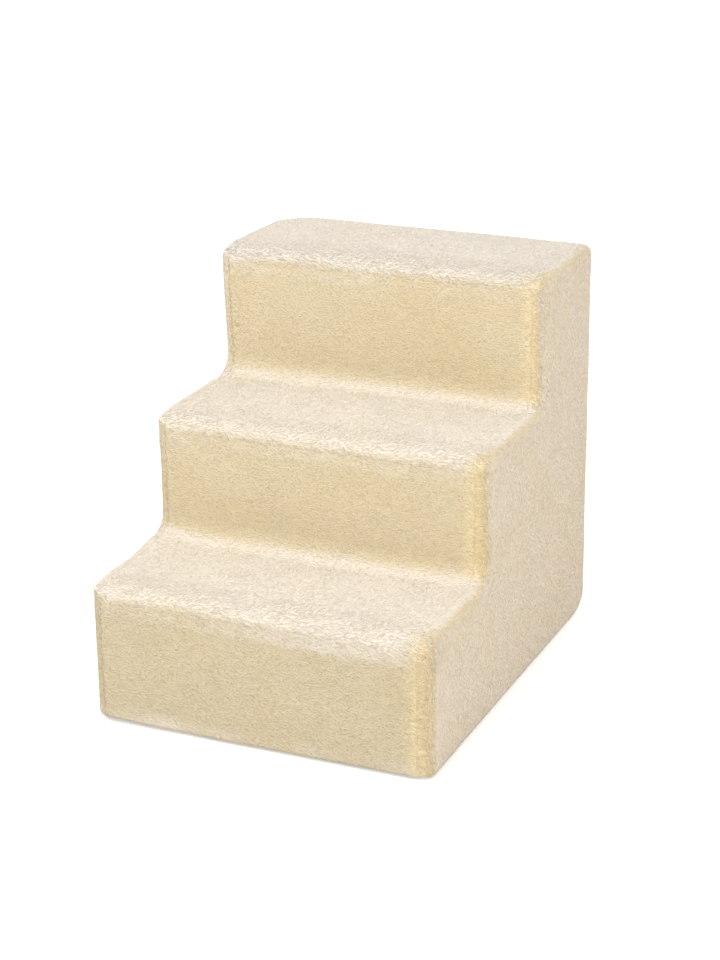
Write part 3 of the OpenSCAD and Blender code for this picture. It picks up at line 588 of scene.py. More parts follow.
def grid_faces(rows: int, columns: int, first: int = 0, closed: bool = False) -> list:
    """Faces of a grid of points that is numbered row by row.

    Args:
        rows: Number of rows.
        columns: Number of points in a row.
        first: Number of the first point.
        closed: Whether each row runs round.

    Returns:
        Quads of point numbers.
    """
    last = columns if closed else columns - 1
    return [
        (first + i * columns + j, first + i * columns + (j + 1) % columns,
         first + (i + 1) * columns + (j + 1) % columns, first + (i + 1) * columns + j)
        for i in range(rows - 1) for j in range(last)]


def turned_round(faces: list) -> list:
    """Turns faces the other way."""
    return [tuple(reversed(f)) for f in faces]


def lift(line: np.ndarray, x: float) -> np.ndarray:
    """Puts a profile of y and z at x."""
    return np.column_stack([np.full(len(line), x), line])


def spaced(start: float, end: float, pitch: float) -> np.ndarray:
    """Numbers from start to end, about a pitch apart."""
    return np.linspace(start, end, max(int(round(abs(end - start) / pitch)), 1) + 1)


def steps_along(line: np.ndarray) -> np.ndarray:
    """Distances from each point of a line to the next."""
    return np.linalg.norm(np.diff(line, axis=0), axis=1)


def inside(border: np.ndarray, y: float, z: float) -> bool:
    """Tells whether a place lies inside an outline.

    Args:
        border: Outline as rows of y and z.
        y: Place along the depth.
        z: Place up the height.

    Returns:
        True inside.
    """
    ay, az = border.T
    by, bz = np.roll(ay, -1), np.roll(az, -1)
    crosses = (az > z) != (bz > z)
    with np.errstate(divide="ignore", invalid="ignore"):
        at = ay + (z - az) * (by - ay) / (bz - az)
    return bool(np.count_nonzero(crosses & (y < at)) % 2)


# Shape of the cover


@dataclass
class StairForm:
    """Outer skin of the plush, worked out from the boxes of the boards under it.

    A crown is how far the middle of a face stands out. The fields from droop_r to hem_rise give the
    soft form of the corners, and those from arc_across to rim the broad arc that ends a tread's lighter colour, past
    which the corner gets painted shade.
    """

    skin: float = 6.3 * MM
    riser_crown: float = 1.5 * MM
    tread_crown: float = 3.0 * MM
    nose_r: float = 18 * MM
    crease_r: float = 16 * MM
    corner_r: float = 22 * MM
    tread_edge_r: float = 12 * MM
    rear_edge_r: float = 9 * MM
    hem_edge_r: float = 6 * MM
    heel_depth_r: float = 34 * MM
    heel_rise_r: float = 20 * MM
    least_r: float = 0.8 * MM
    seam_in: float = 14 * MM
    seam_dip: float = 0.1 * MM
    seam_reach: float = 3 * MM
    hem_turn: float = 26 * MM
    pile_depth: float = 0.8 * MM
    pitch: float = 3.6 * MM
    arc_steps: int = 8
    droop_r: float = 66 * MM
    droop_right: float = 11 * MM
    droop_left: float = 4.5 * MM
    droop_rear: float = 5.0 * MM
    droop_reach: float = 60 * MM
    droop_most: float = 1.3
    droop_power: float = 1.35
    lean: float = 3.0 * MM
    shoulder: float = 2.5 * MM
    bridge: float = 5.0 * MM
    bridge_reach: float = 2.5
    hem_rise: float = 1.8 * MM
    arc_across: float = 36 * MM
    arc_along: float = 92 * MM
    arc_blur: float = 0.15
    rim: tuple = (2 * MM, 9 * MM)
    nose_reach: tuple = (1.05, 1.6)
    riser_y: list = field(default_factory=list)
    tread_z: list = field(default_factory=list)

    def __post_init__(self) -> None:
        """Reads the places of the risers and the levels of the treads."""
        for level in LEVELS:
            low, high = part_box(f"tread_board_{level}")
            self.riser_y.append(low.y - self.skin - self.riser_crown)
            self.tread_z.append(high.z + self.skin + self.tread_crown)
        low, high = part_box("cover_right_side")
        self.half_w = high.x
        self.rear_y = high.y
        self.hem_z = low.z
        self.seam_x = self.half_w - self.seam_in

    def fall(self, radius: float, u: float) -> float:
        """Returns how far an edge of that radius has fallen at distance u from the side."""
        e = min(max(radius - u, 0.0), radius)
        return radius - math.sqrt(radius * radius - e * e)

    def dip(self, away: float) -> float:
        """Returns how deep the plush is drawn in at that distance from its seam."""
        return self.seam_dip * float(1 - smoothstep(0, self.seam_reach, np.array(away)))

    def kept(self, own: float, cross: float, own_crown: float, cross_crown: float) -> float:
        """Radius that a nose keeps in one direction where the other face is set in.

        Args:
            own: Inset of its own face.
            cross: Inset of the other face.
            own_crown: Crown of its own face.
            cross_crown: Crown of the other face.

        Returns:
            The radius, in metres.
        """
        own_r, cross_r = self.nose_r - own_crown, self.nose_r - cross_crown
        share = min(max((self.nose_r - cross) / cross_r, 0.0), 1.0)
        return max(self.nose_r - own - own_r * math.sqrt(1 - share * share), self.least_r)

    def arc(self, y: float, z: float, ry: float, rz: float, start: float, end: float) -> np.ndarray:
        """Points of an arc about (y, z), with a radius along the depth and one up the height, in degrees."""
        a = np.radians(np.linspace(start, end, self.arc_steps + 1))
        return np.stack([y + ry * np.cos(a), z + rz * np.sin(a)], 1)

    def line(self, a: np.ndarray, b: np.ndarray, full: float, rise_y: float = 0.0, rise_z: float = 0.0) -> np.ndarray:
        """Points between a and b, without them, that stand out in the middle.

        Args:
            a: Start.
            b: End.
            full: Length that sets the number of points, the same for every row.
            rise_y: How far the middle stands out from a riser.
            rise_z: How far the middle stands out from a tread.

        Returns:
            Rows of y and z.
        """
        count = max(int(round(full / self.pitch)), 2)
        s = (np.arange(1, count) / count)[:, None]
        return a + (b - a) * s + 4 * s * (1 - s) * np.array([[-rise_y, rise_z]])

    def steps(self, u: float, dip: float, end_y: float) -> np.ndarray:
        """Profile from the front bottom corner up the steps to end_y on the upper tread.

        Args:
            u: Distance from the side.
            dip: How deep the plush is drawn in there.
            end_y: Where the upper tread ends.

        Returns:
            Rows of y and z.
        """
        f = self.riser_crown + self.fall(self.corner_r, u) + dip
        t = self.tread_crown + self.fall(self.tread_edge_r, u) + dip
        b = self.fall(self.hem_edge_r, u)
        share = min(u / self.half_w, 1.0)
        crown = share * (2 - share)
        ry = self.kept(f, t, self.riser_crown, self.tread_crown)
        rz = self.kept(t, f, self.tread_crown, self.riser_crown)
        toe_r = max(self.hem_edge_r - b, self.least_r)
        toe = self.arc(self.riser_y[0] + f + toe_r, self.hem_z + b + toe_r, toe_r, toe_r, 270, 180)
        noses = [self.arc(y + f + ry, z - t - rz, ry, rz, 180, 90) for y, z in zip(self.riser_y, self.tread_z)]
        creases = [self.arc(y - self.crease_r, z + self.crease_r, self.crease_r + f, self.crease_r + t, 270, 360)
                   for y, z in zip(self.riser_y[1:], self.tread_z)]
        depths, heights = np.diff([*self.riser_y, self.rear_y]), np.diff([0.0, *self.tread_z])
        starts = [toe, *creases]
        ends = [creases[0][0], creases[1][0], np.array([end_y, self.tread_z[2] - t])]
        rows = []
        for k in range(3):
            rows += [starts[k], self.line(starts[k][-1], noses[k][0], heights[k], rise_y=self.riser_crown * crown)]
            rows += [noses[k], self.line(noses[k][-1], ends[k], depths[k], rise_z=self.tread_crown * crown)]
        return np.concatenate(rows)

    def rear(self, u: float, dip: float) -> tuple[np.ndarray, np.ndarray]:
        """Rear top edge and rear bottom corner.

        Args:
            u: Distance from the side.
            dip: How deep the plush is drawn in there.

        Returns:
            The two arcs as rows of y and z.
        """
        r = self.fall(self.rear_edge_r, u) + dip
        t = self.tread_crown + self.fall(self.tread_edge_r, u) + dip
        b = self.fall(self.hem_edge_r, u)
        ry, rz = max(self.rear_edge_r - r, self.least_r), max(self.rear_edge_r + self.tread_crown - t, self.least_r)
        top = self.arc(self.rear_y - r - ry, self.tread_z[2] - t - rz, ry, rz, 90, 0)
        ry, rz = max(self.heel_depth_r - r, self.least_r), max(self.heel_rise_r - b, self.least_r)
        return top, self.arc(self.rear_y - r - ry, self.hem_z + b + rz, ry, rz, 0, -90)

    def loop(self, u: float, dip: float) -> np.ndarray:
        """Whole outline round the stairs, from the front bottom corner.

        Args:
            u: Distance from the side.
            dip: How deep the plush is drawn in there.

        Returns:
            Rows of y and z.
        """
        top, heel = self.rear(u, dip)
        back = self.line(top[-1], heel[0], self.tread_z[2])
        first = self.steps(u, dip, top[0][0])
        base = self.line(heel[-1], first[0], self.rear_y - self.riser_y[0])
        return np.concatenate([first, top, back, heel, base])

    def nose_share(self, points: np.ndarray) -> np.ndarray:
        """Tells how near each place is to the rounded nose of a tread.

        Args:
            points: Places, in metres.

        Returns:
            1 on a nose, 0 well away from it.
        """
        share = np.zeros(len(points))
        for riser, tread in zip(self.riser_y, self.tread_z):
            away = np.hypot(points[:, 1] - riser - self.nose_r, points[:, 2] - tread + self.nose_r)
            share = np.maximum(share, 1 - smoothstep(*self.nose_reach, away / self.nose_r))
        return share

    def tread_edge(self, points: np.ndarray) -> np.ndarray:
        """Tells how far each place is past the broad arc in which the lighter colour of a tread ends, beyond which the
        corner gets painted shade.

        Args:
            points: Places, in metres.

        Returns:
            0 on the tread, 1 beside it.
        """
        x, y, z = points.T
        level = np.searchsorted(np.array(self.riser_y[1:]) - self.crease_r, y)
        riser = np.array(self.riser_y)[level]
        foot = np.array([-1.0, *self.tread_z[:2]])[level]
        across = np.clip(x - (self.half_w - self.arc_across), 0, None) / self.arc_across
        along = np.clip(riser + self.arc_along - y, 0, None) / self.arc_along
        right = smoothstep(-self.arc_blur, self.arc_blur, np.hypot(across, along) - 1) * smoothstep(0, 0.4, across)
        right = right * smoothstep(foot, foot + self.crease_r, z)
        return np.maximum(right, 1 - smoothstep(*self.rim, self.half_w - x))

    def corner(self, across: np.ndarray, along: np.ndarray) -> np.ndarray:
        """Share by which a corner has fallen, past a broad arc in plan.

        Args:
            across: Distance into the corner from where its arc begins, across the stairs.
            along: The same along the depth.

        Returns:
            0 up to the arc, 1 at the corner's own rounding.
        """
        span = self.droop_r * (math.sqrt(2) - 1) - self.corner_r * (math.sqrt(2) - 1)
        past = np.hypot(np.clip(across, 0, None), np.clip(along, 0, None)) - self.droop_r
        return np.clip(past / span, 0, self.droop_most) ** self.droop_power

    def droop(self, points: np.ndarray) -> np.ndarray:
        """Softens the form: the treads' corners fall in a broad arc, and the left end leans and sags.

        Args:
            points: Places, in metres.

        Returns:
            The softened places.
        """
        out = points.copy()
        x, y, z = points.T
        inner, top = self.half_w - self.droop_r, self.tread_z[2]
        deep = np.where(x > 0, self.droop_right, self.droop_left)
        for riser, tread in zip(self.riser_y, self.tread_z):
            near = (y > riser - self.crease_r / 4) & (z <= tread + self.tread_crown)
            reach = smoothstep(tread - self.droop_reach, tread - self.nose_r / 2, z) * near
            out[:, 2] -= deep * self.corner(np.abs(x) - inner, riser + self.droop_r - y) * reach
        reach = smoothstep(top - self.droop_reach, top - self.nose_r / 2, z)
        out[:, 2] -= self.droop_rear * self.corner(-x - inner, y - (self.rear_y - self.droop_r)) * reach
        ends = smoothstep(inner, self.half_w - self.corner_r / 2, -x)
        ahead = 1 - smoothstep(self.riser_y[2] + self.corner_r, self.rear_y - self.corner_r, y)
        out[:, 0] -= self.lean * ends * ahead * smoothstep(self.tread_z[1], top - self.nose_r, z)
        left = smoothstep(inner, self.half_w, -x)
        out[:, 2] -= self.shoulder * left * reach
        wide = self.crease_r * self.bridge_reach
        near = bell((y - self.riser_y[1] + self.crease_r) / wide) * bell((z - self.tread_z[0]) / wide)
        out[:, 2] += self.bridge * left * near
        low = 1 - smoothstep(self.hem_z, self.hem_z + self.hem_turn, z)
        out[:, 2] += self.hem_rise * smoothstep(0, self.half_w, -x) * low * (y < 0)
        return out


@dataclass
class CoverPanel:
    """One sewn panel of the cover: its sheet, and how the pile lies on it.

    Attributes:
        form: Shape of the stairs.
        node: CAD node that the panel stands for.
        points: Points of the outer side.
        faces: Faces of the outer side.
        thick: Thickness share for each point.
        lay: How the pile lies.
        flat: Width and length, laid flat; not used.
        area: Area, laid flat; not used.
        flip: Whether the faces are turned round.
        thickness: Thickness of the plush with its backing.
        spill: How far each tread's lighter colour, partly painted light, comes down over its nose on the right.
        band_reach: Where the clumped pile beside the corner begins to end and ends, from the side.
        band_left: Share of that pile on the left.
        beside: Share of the band's colour beside the treads on the right, painted shade where a tread's corner falls
            away.
        hem_reach: Where the light pile along the hem begins to end and ends, from the floor.
        hem_share: Share of the treads' colour along the hem.
        nap_share: Share of the painted shade low on the lowest riser.
    """

    form: StairForm
    node: str
    points: np.ndarray
    faces: list
    thick: np.ndarray
    lay: Lay
    flat: tuple
    area: float
    flip: bool = False
    thickness: float = 4.6 * MM
    spill: tuple = (0.4, 0.02, -0.05)
    band_reach: tuple = (11 * MM, 31 * MM)
    band_left: float = 0.1
    beside: float = 0.4
    hem_reach: tuple = (7 * MM, 21 * MM)
    hem_share: float = 0.85
    nap_share: float = 0.85

    def build(self, plush: bpy.types.Material, backing: bpy.types.Material) -> bpy.types.Object:
        """Makes the sheet with its relief, its masks and its thickness.

        Args:
            plush: Material of the outer side.
            backing: Material of the inner side.

        Returns:
            The sheet.
        """
        form = self.form
        faces = turned_round(self.faces) if self.flip else self.faces
        sheet = new_piece(f"{self.node}_plush", form.droop(self.points), faces, plush)
        normals, places = vectors(sheet.data.vertex_normals, "vector"), vectors(sheet.data.vertices, "co")
        soft = SAG.over(places) * 0.5 * MM
        clumps = CLUMPS.over(places) * (0.05 + 0.25 * form.nose_share(places)) * MM
        edge = smoothstep(0.0, form.seam_reach, np.abs(np.abs(places[:, 0]) - form.seam_x))
        height = (soft + clumps) * edge - form.pile_depth
        set_points(sheet, places + normals * height[:, None])
        for name, values in self.masks(places, normals).items():
            set_attribute(sheet, name, values)
        sheet.data.materials.append(backing)
        group = sheet.vertex_groups.new(name="thickness")
        for share in np.unique(self.thick):
            group.add([int(i) for i in np.flatnonzero(self.thick == share)], float(share), "REPLACE")
        solid = sheet.modifiers.new("backing", "SOLIDIFY")
        solid.thickness = self.thickness
        solid.offset = -1
        solid.vertex_group = "thickness"
        solid.thickness_vertex_group = 0.0
        solid.material_offset = 1
        return sheet

    def masks(self, places: np.ndarray, normals: np.ndarray) -> dict[str, np.ndarray]:
        """Shares of the finish's colours, partly painted light and shade, and how the pile lies, at each point.

        Args:
            places: Points of the outer side.
            normals: Normals of the outer side.

        Returns:
            Attribute values by name.
        """
        form = self.form
        x, _, z = places.T
        facing_side, facing_back, facing_up = normals.T
        nose, past = form.nose_share(places), form.tread_edge(places)
        wave = BROAD_WAVE.over(places) * 0.2 + FINE_WAVE.over(places) * 0.15
        level = np.searchsorted(np.array(form.tread_z[:2]) + form.crease_r, z)
        wave = wave + np.array(self.spill)[level] * smoothstep(-0.1, 0.15, x)
        # Share of the treads' colour by how far a face looks up, and down over the noses: partly the pile's lay, partly
        # painted light from above.
        up = smoothstep(0, 1, (facing_up + wave * nose - 0.3 + 0.6 * nose) / (0.65 + 0.4 * nose))
        flat = smoothstep(0.3, 0.8, facing_up)
        front = smoothstep(0.15, 0.75, -facing_back)
        turn = 0.8 - 0.45 * smoothstep(0.1, form.tread_z[2], z)
        outer = smoothstep(turn, turn + 0.3, np.abs(facing_side))
        inward = form.half_w - np.abs(x)
        band = front * (1 - smoothstep(*self.band_reach, inward)) * np.where(x > 0, 1.0, self.band_left)
        # Painted shade: past the broad arc at a tread's right corner, the band's colour stands in for the tread's.
        band = np.maximum(band * (1 - outer), flat * past * np.where(x > 0, self.beside, 0.0))
        side = np.maximum(outer, smoothstep(0.3, 0.8, facing_back))
        if self.lay is Lay.SIDE:
            side = np.maximum(side, (1 - front) * (1 - up))
        # Painted shade: the treads' lighter colour ends past the arc at the right corner.
        up = up * (1 - 0.85 * past)
        hem = 1 - smoothstep(*self.hem_reach, z - form.hem_z)
        hem = hem * front * np.clip(0.75 + HEM_PATCHES.over(places) * 1.2, 0, 1) * (x < form.seam_x)
        hem = hem * (1 - 0.6 * smoothstep(-0.02, 0.12, x))
        # Painted shade low on the lowest riser.
        low = (1 - up) * (1 - side) * (1 - smoothstep(-form.nose_r * 2, 0, z - form.tread_z[0]))
        low = self.nap_share * low * (1 - hem) * (1 - 0.8 * band)
        return {
            "tread_share": np.maximum(up, self.hem_share * hem),
            "band_share": band,
            "side_share": side * (1 - flat),
            # Painted shade on the upper tread and low on the lowest riser.
            "nap_share": np.maximum(up * (z > form.tread_z[2] - form.nose_r), low),
            "pile_raise": np.clip(0.25 * up + 0.5 * nose * up + 0.6 * band * (1 - flat) + 0.5 * hem, 0, 1),
            "pile_flow": self.flow(places, normals, up),
        }

    def flow(self, places: np.ndarray, normals: np.ndarray, up: np.ndarray) -> np.ndarray:
        """Direction in which the pile is brushed at each point.

        Args:
            places: Points of the outer side.
            normals: Normals of the outer side.
            up: Share of the treads' pile.

        Returns:
            Unit vectors along the surface.
        """
        tread, nose = np.array([1.0, 0.35, 0.0]), np.array([1.0, -0.3, -0.3])
        riser, fall = np.array([1.0, 0.0, -0.15]), np.array([0.05, 0.08, -1.0])
        turned = np.clip(4 * up * (1 - up), 0, 1)[:, None] * self.form.nose_share(places)[:, None]
        inward = self.form.half_w - np.abs(places[:, 0])
        beside = 1 - smoothstep(self.form.seam_in * 0.2, self.form.seam_in * 0.8, inward)
        beside = np.maximum(beside, smoothstep(0.2, 0.7, normals[:, 1]))[:, None]
        standing = riser * (1 - beside) + fall * beside
        wanted = standing * (1 - up)[:, None] + tread * up[:, None]
        wanted = wanted * (1 - turned) + nose * turned
        swirl = BROAD_SWIRL.over(places) * 0.5 + FINE_SWIRL.over(places) * 0.6
        wanted = wanted + np.cross(normals, wanted) * (swirl * (0.2 + 0.8 * up))[:, None]
        along = wanted - normals * np.sum(wanted * normals, 1)[:, None]
        return along / np.maximum(np.linalg.norm(along, axis=1), 1e-6)[:, None]


@dataclass
class CoverBuilder:
    """Cuts the five panels of the cover.

    Attributes:
        form: Shape of the stairs.
        zip_hw: Half the width of the opening that holds the zip.
        zip_tail: How far the tapes run on past the opening.
        hem_share: Thickness of the turned hem as a share of the plush.
        turn_rows: Rows of faces on the front's turned hem.
        clear_row: Row of a back half that is clear of its rounded side.
        cut: Share of a panel's width by length that its area is.
        strip_fine: Reach of the strip's fine rows beside the seam, by the corner radius, and their pitch.
        back_fine: The same for a back half.
        zip_pitch: Distance between the rows along the zip.
        low_by: Height over the hem under which the plush is turned.
        turn_from: Where the strip's turned hem begins, by the hem's radius.
        cap_pitch: Pitch of the flat side's triangles by the pitch of the form.
        cap_clear: Least distance of its inner points from the border, by their pitch.
        cap_rise: Height of a row of its triangles, by their pitch.
    """

    form: StairForm
    zip_hw: float = 9 * MM
    zip_tail: float = 14 * MM
    hem_share: float = 0.42
    turn_rows: int = 5
    clear_row: int = 5
    cut: float = 0.999
    strip_fine: tuple = (1.6, 1.7 * MM)
    back_fine: tuple = (1.5, 2.4 * MM)
    zip_pitch: float = 3 * MM
    low_by: float = 1 * MM
    turn_from: float = 1.4
    cap_pitch: float = 1.15
    cap_clear: float = 0.6
    cap_rise: float = 0.866

    def shares(self, points: np.ndarray, past: float = -1.0) -> np.ndarray:
        """Thickness share of each point: less on the turned hem, from the depth past on."""
        low = points[:, 2] < self.form.hem_z + self.low_by
        return np.where(low & (points[:, 1] > past), self.hem_share, 1.0)

    def strip(self) -> CoverPanel:
        """Cuts the strip that runs up the risers and over the treads.

        Returns:
            The panel.
        """
        form = self.form
        reach, fine = self.strip_fine
        middle = form.corner_r * reach
        half = np.concatenate([spaced(form.seam_in, middle, fine), spaced(middle, form.half_w, form.pitch)[1:]])
        end_y = form.rear_y - form.rear_edge_r
        rows = []
        for u, x in [(u, form.half_w - u) for u in half] + [(u, u - form.half_w) for u in half[-2::-1]]:
            dip = form.dip(u - half[0])
            profile = form.steps(u, dip, end_y)
            turned = np.linspace(form.riser_y[0] + form.hem_turn, profile[0][0], self.turn_rows + 1)[:-1]
            hem = np.column_stack([turned, np.full(self.turn_rows, profile[0][1])])
            end_z = form.tread_z[2] - form.tread_crown - form.fall(form.tread_edge_r, u) - dip
            rows.append(lift(np.concatenate([hem, profile, [[end_y, end_z]]]), x))
        points = np.concatenate(rows)
        thick = self.shares(points, form.riser_y[0] + form.hem_edge_r * self.turn_from)
        length, width = float(steps_along(rows[len(rows) // 2]).sum()), 2 * form.seam_x
        return CoverPanel(form, "cover_step_strip", points, grid_faces(len(rows), len(rows[0])), thick, Lay.TREAD,
                          (width, length), width * length * self.cut)

    def side(self, side: Side) -> CoverPanel:
        """Cuts a side panel, which wraps round onto the risers, treads, back and hem.

        Args:
            side: Which side.

        Returns:
            The panel.
        """
        form = self.form
        ring_u = form.seam_in * (1 - np.sin(np.linspace(0, math.pi / 2, 10)))
        ring_u = np.concatenate([np.linspace(form.seam_in, ring_u[3], 4), ring_u[4:]])
        rings = []
        for u in ring_u:
            kept = max(float(u), 0.0)
            rings.append(lift(form.loop(kept, form.dip(form.seam_in - u)), form.half_w - kept))
        columns = len(rings[0])
        points = np.concatenate(rings)
        border = rings[-1][:, 1:]
        cap_points, cap_faces = self.cap(border, (len(rings) - 1) * columns, len(points))
        faces = turned_round(grid_faces(len(rings), columns, closed=True)) + cap_faces
        points = np.concatenate([points, lift(cap_points, form.half_w)]) * np.array([side.value, 1, 1])
        shoelace = border[:, 0] * np.roll(border[:, 1], -1) - np.roll(border[:, 0], -1) * border[:, 1]
        ring_area = float(np.linalg.norm(border - np.roll(border, 1, axis=0), axis=1).sum()) * form.seam_in
        size = (2 * form.rear_y + 2 * form.seam_in, form.tread_z[2] + 2 * form.seam_in)
        return CoverPanel(form, f"cover_{side.name.lower()}_side", points, faces, self.shares(points), Lay.SIDE,
                          size, abs(float(shoelace.sum())) / 2 + ring_area, flip=side is Side.LEFT)

    def cap(self, border: np.ndarray, first: int, count: int) -> tuple[np.ndarray, list]:
        """Fills the flat side inside its border with even triangles.

        Args:
            border: Outline as rows of y and z.
            first: Number of the border's first point.
            count: Number of points so far.

        Returns:
            The new inner points and the faces, with their point numbers.
        """
        form = self.form
        pitch = form.pitch * self.cap_pitch
        clear = pitch * self.cap_clear
        bottom = border[:, 1].min()
        inner = []
        for row, z in enumerate(np.arange(pitch, form.tread_z[2], pitch * self.cap_rise)):
            for y in np.arange(-form.rear_y + pitch, form.rear_y, pitch) + (pitch / 2 if row % 2 else 0.0):
                k = 0 if y < form.riser_y[1] + form.corner_r else 1 if y < form.riser_y[2] + form.corner_r else 2
                away = np.min(np.hypot(border[:, 0] - y, border[:, 1] - z))
                if z > bottom + clear and away > clear and z < form.tread_z[k] and inside(border, y, z):
                    inner.append((y, z))
        inner = np.array(inner)
        every = np.concatenate([border, inner])
        edges = [(i, (i + 1) % len(border)) for i in range(len(border))]
        out = geometry.delaunay_2d_cdt([Vector(p) for p in every], edges, [], 1, 1e-7)
        source = [origins[0] if origins else None for origins in out[3]]
        number = [first + s if s is not None and s < len(border) else count + s - len(border) for s in source]
        faces = []
        for face in out[2]:
            face = tuple(number[i] for i in face)
            a, b, c = (every[i - first] if i < count else inner[i - count] for i in face[:3])
            turn = (b[0] - a[0]) * (c[1] - a[1]) - (b[1] - a[1]) * (c[0] - a[0])
            faces.append(face if turn > 0 else tuple(reversed(face)))
        return inner, faces

    def back(self, side: Side) -> CoverPanel:
        """Cuts a back half, from the rear top edge down to the hem, with the edge that holds the zip.

        Args:
            side: Which side.

        Returns:
            The panel.
        """
        form = self.form
        zip_low, zip_high = self.zip_span()
        reach, fine = self.back_fine
        round_end, zip_edge = form.corner_r * reach, form.half_w - self.zip_hw
        half = np.concatenate([spaced(form.seam_in, round_end, fine), spaced(round_end, zip_edge, form.pitch)[1:],
                               spaced(zip_edge, form.half_w, self.zip_pitch)[1:]])
        rows = []
        for u in half:
            top, heel = form.rear(float(u), form.dip(u - half[0]))
            start = [[form.rear_y - form.rear_edge_r, top[0][1]]]
            levels = np.concatenate([
                spaced(top[-1][1], zip_high, form.pitch)[1:], spaced(zip_high, zip_low, form.pitch)[1:],
                spaced(zip_low, heel[0][1], form.pitch)[1:-1]])
            back = np.column_stack([np.full(len(levels), top[-1][0]), levels])
            turned = spaced(heel[-1][0], form.rear_y - form.heel_depth_r - form.hem_turn, form.pitch)[1:]
            under = np.column_stack([turned, np.full(len(turned), heel[-1][1])])
            rows.append(lift(np.concatenate([start, top[1:], back, heel, under]), form.half_w - float(u)))
        points = np.concatenate(rows)
        faces = []
        for face in grid_faces(len(rows), len(rows[0])):
            centre = points[list(face)].mean(0)
            if not (centre[0] < self.zip_hw and zip_low < centre[2] < zip_high and centre[1] > 0):
                faces.append(face)
        used = np.unique(np.array(faces).ravel())
        renumber = -np.ones(len(points), int)
        renumber[used] = np.arange(len(used))
        points = points[used] * np.array([side.value, 1, 1])
        faces = [tuple(renumber[i] for i in f) for f in faces]
        length, width = float(steps_along(rows[self.clear_row]).sum()), float(form.seam_x)
        return CoverPanel(form, f"cover_back_{side.name.lower()}", points, faces, self.shares(points), Lay.SIDE,
                          (width, length), width * length * self.cut, flip=side is Side.LEFT)

    def zip_span(self) -> tuple[float, float]:
        """Returns the lowest and highest point of the zip's opening."""
        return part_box("zip_top_stops")[0].z - self.zip_tail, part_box("zip_tape_right")[1].z - self.zip_tail


# Pile and stitches


